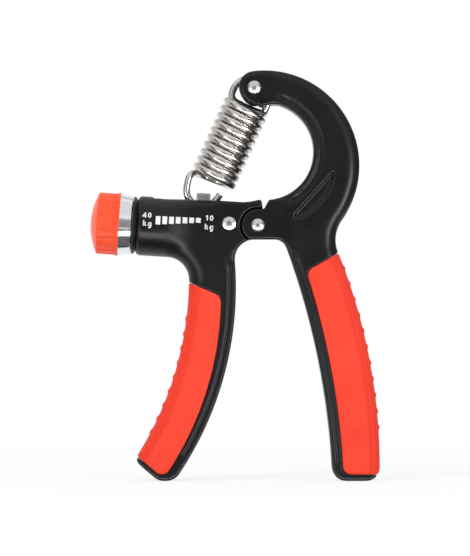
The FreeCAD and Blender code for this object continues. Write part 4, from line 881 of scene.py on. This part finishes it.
# Floor, light and camera. Places and sizes here are metres of the frame.
stageSettings = {
    "floor": "#F2F2F2", "floorHalf": 6.0, "worldFill": 0.62,
    # under the object the floor shows its shadow, further out it fades to plain white
    "floorGlow": 0.80, "glowNear": 0.12, "glowFar": 0.45,
    "middle": (0, 0, 0.085), "card": "#101010", "cardRoughness": 0.9,
}
softBoxes = {
    # name: (place, width, height, power)
    "key": ((-0.45, -0.5, 0.55), 0.4, 0.4, 3.35),
    "fill": ((0.55, -0.35, 0.25), 0.25, 0.5, 1.6),
    "back": ((0.1, 0.5, 0.45), 0.5, 0.3, 0.7),
}
studioCards = {
    # name: (place, width, height, glow); flags and dim cards first, then the bright strips
    "card behind the camera": ((0.0, -0.95, 0.17), 0.6, 0.6, 0.15),
    "card on the right": ((0.85, -0.15, 0.20), 1.5, 1.3, 0.2),
    "card on the left": ((-0.85, -0.15, 0.20), 1.5, 1.3, 0.6),
    "card behind on the right": ((0.85, 0.60, 0.10), 0.9, 0.5, 0.10),
    "card above the back": ((-0.35, 0.55, 0.85), 1.0, 0.9, 0.6),
    "narrow flag on the left": ((-0.62, -0.17, 0.15), 0.26, 0.9, 0.05),
    "card above": ((0.0, -0.30, 0.80), 1.5, 1.0, 0.8),
    "card below": ((0.0, -0.45, -0.55), 1.9, 1.2, 0.12),
    "low strip": ((0.0, -0.50, -0.26), 0.85, 0.11, 12.0),
    "left strip": ((-0.50, -0.55, -0.10), 0.15, 0.30, 7.5),
    "right strip": ((0.52, -0.55, -0.06), 0.20, 0.40, 12.0),
}
cameraSettings = {
    # the picture shows viewHeight mm from top to bottom, about a point left of the pivot
    "distance": 1.70, "viewHeight": 217.3, "pictureCentre": (-8.9, -20.5),
    "sensorHeight": 24, "clipStart": 0.01,
}


def whiteRays(tree):
    # 1 for rays from the camera and for rays seen in gloss or glass, else 0
    paths = tree.nodes.new("ShaderNodeLightPath")
    total = paths.outputs["Is Camera Ray"]
    for name in ("Is Glossy Ray", "Is Transmission Ray"):
        larger = tree.nodes.new("ShaderNodeMath")
        larger.operation = "MAXIMUM"
        tree.links.new(total, larger.inputs[0])
        tree.links.new(paths.outputs[name], larger.inputs[1])
        total = larger.outputs[0]
    return total


def paleFloor():
    s = stageSettings
    shape = bmesh.new()
    bmesh.ops.create_grid(shape, x_segments=2, y_segments=2, size=s["floorHalf"])
    floor = addObject("floor", meshFrom(shape, "floor"))
    material = bpy.data.materials.new("matt white table")
    material.use_nodes = True
    tree = material.node_tree
    tree.nodes.clear()
    lit = addNode(material, "ShaderNodeBsdfDiffuse", None, {"Color": linearColour(s["floor"])})
    glow = addNode(material, "ShaderNodeEmission", None, {"Color": (1, 1, 1, 1), "Strength": 1.0})
    place = addNode(material, "ShaderNodeTexCoord")
    away = addNode(material, "ShaderNodeVectorMath", {"operation": "LENGTH"}, None,
                   {"Vector": place.outputs["Object"]})
    fade = addNode(material, "ShaderNodeMapRange", {"interpolation_type": "SMOOTHSTEP"},
                   {"From Min": s["glowNear"], "From Max": s["glowFar"],
                    "To Min": s["floorGlow"], "To Max": 1.0}, {"Value": away.outputs["Value"]})
    share = addNode(material, "ShaderNodeMath", {"operation": "MULTIPLY"})
    link(material, fade.outputs["Result"], share.inputs[1])
    link(material, whiteRays(tree), share.inputs[0])
    mix = addNode(material, "ShaderNodeMixShader", None, None, {"Fac": share.outputs[0]})
    link(material, lit.outputs[0], mix.inputs[1])
    link(material, glow.outputs[0], mix.inputs[2])
    addNode(material, "ShaderNodeOutputMaterial", None, None, {"Surface": mix.outputs[0]})
    floor.data.materials.append(material)
    floor.visible_glossy = False  # glossy surfaces show the tent and its cards instead


def whiteWorld():
    world = bpy.data.worlds.new("white tent")
    bpy.context.scene.world = world
    world.use_nodes = True
    tree = world.node_tree
    background = tree.nodes["Background"]
    background.inputs["Color"].default_value = (1, 1, 1, 1)
    mix = tree.nodes.new("ShaderNodeMix")
    mix.inputs["A"].default_value = stageSettings["worldFill"]
    mix.inputs["B"].default_value = 1.0
    tree.links.new(whiteRays(tree), mix.inputs["Factor"])
    tree.links.new(mix.outputs["Result"], background.inputs["Strength"])


def towardsMiddle(place, forwardAxis):
    aim = Vector(stageSettings["middle"]) - Vector(place)
    return aim.to_track_quat(forwardAxis, "Y")


def softBox(name, place, width, height, power):
    light = bpy.data.lights.new(name, "AREA")
    light.shape = "RECTANGLE"
    light.size = width
    light.size_y = height
    light.energy = power
    lamp = addObject(name, light)
    lamp.location = place
    lamp.rotation_euler = towardsMiddle(place, "-Z").to_euler()
    lamp.visible_glossy = False  # gloss is lit by the tent, its cards and its strips alone


def studioCard(name, place, width, height, glow):
    # a card that only reflections see: a dim one gives bright metal its dark bands, a bright
    # strip puts soft highlights on the rounded edges of the black plastic
    shape = bmesh.new()
    bmesh.ops.create_grid(shape, x_segments=1, y_segments=1, size=0.5)
    bmesh.ops.scale(shape, verts=shape.verts, vec=(width, height, 1))
    bmesh.ops.rotate(shape, verts=shape.verts, matrix=towardsMiddle(place, "Z").to_matrix())
    bmesh.ops.translate(shape, verts=shape.verts, vec=place)
    card = addObject(name, meshFrom(shape, name))
    card.visible_camera = False
    card.visible_diffuse = False
    card.visible_shadow = False
    material = bpy.data.materials.new("dark card lit from behind")
    material.use_nodes = True
    shader = material.node_tree.nodes["Principled BSDF"]
    shader.inputs["Base Color"].default_value = linearColour(stageSettings["card"])
    shader.inputs["Roughness"].default_value = stageSettings["cardRoughness"]
    shader.inputs["Emission Color"].default_value = (1, 1, 1, 1)
    shader.inputs["Emission Strength"].default_value = glow
    card.data.materials.append(material)


def photoCamera():
    s = cameraSettings
    data = bpy.data.cameras.new("photo camera")
    data.sensor_fit = "VERTICAL"
    data.sensor_height = s["sensorHeight"]
    data.lens = s["sensorHeight"] * s["distance"] / (s["viewHeight"] * mm)
    data.clip_start = s["clipStart"]
    camera = addObject("photo camera", data)
    camera.location = inFrame(*s["pictureCentre"]) + Vector((0, -s["distance"], 0))
    camera.rotation_euler = (math.pi / 2, 0, 0)
    bpy.context.scene.camera = camera


paleFloor()
whiteWorld()
for name, values in softBoxes.items():
    softBox(name, *values)
for name, values in studioCards.items():
    studioCard(name, *values)
photoCamera()
bpy.context.scene.view_settings.view_transform = "Standard"
print("stage ready")
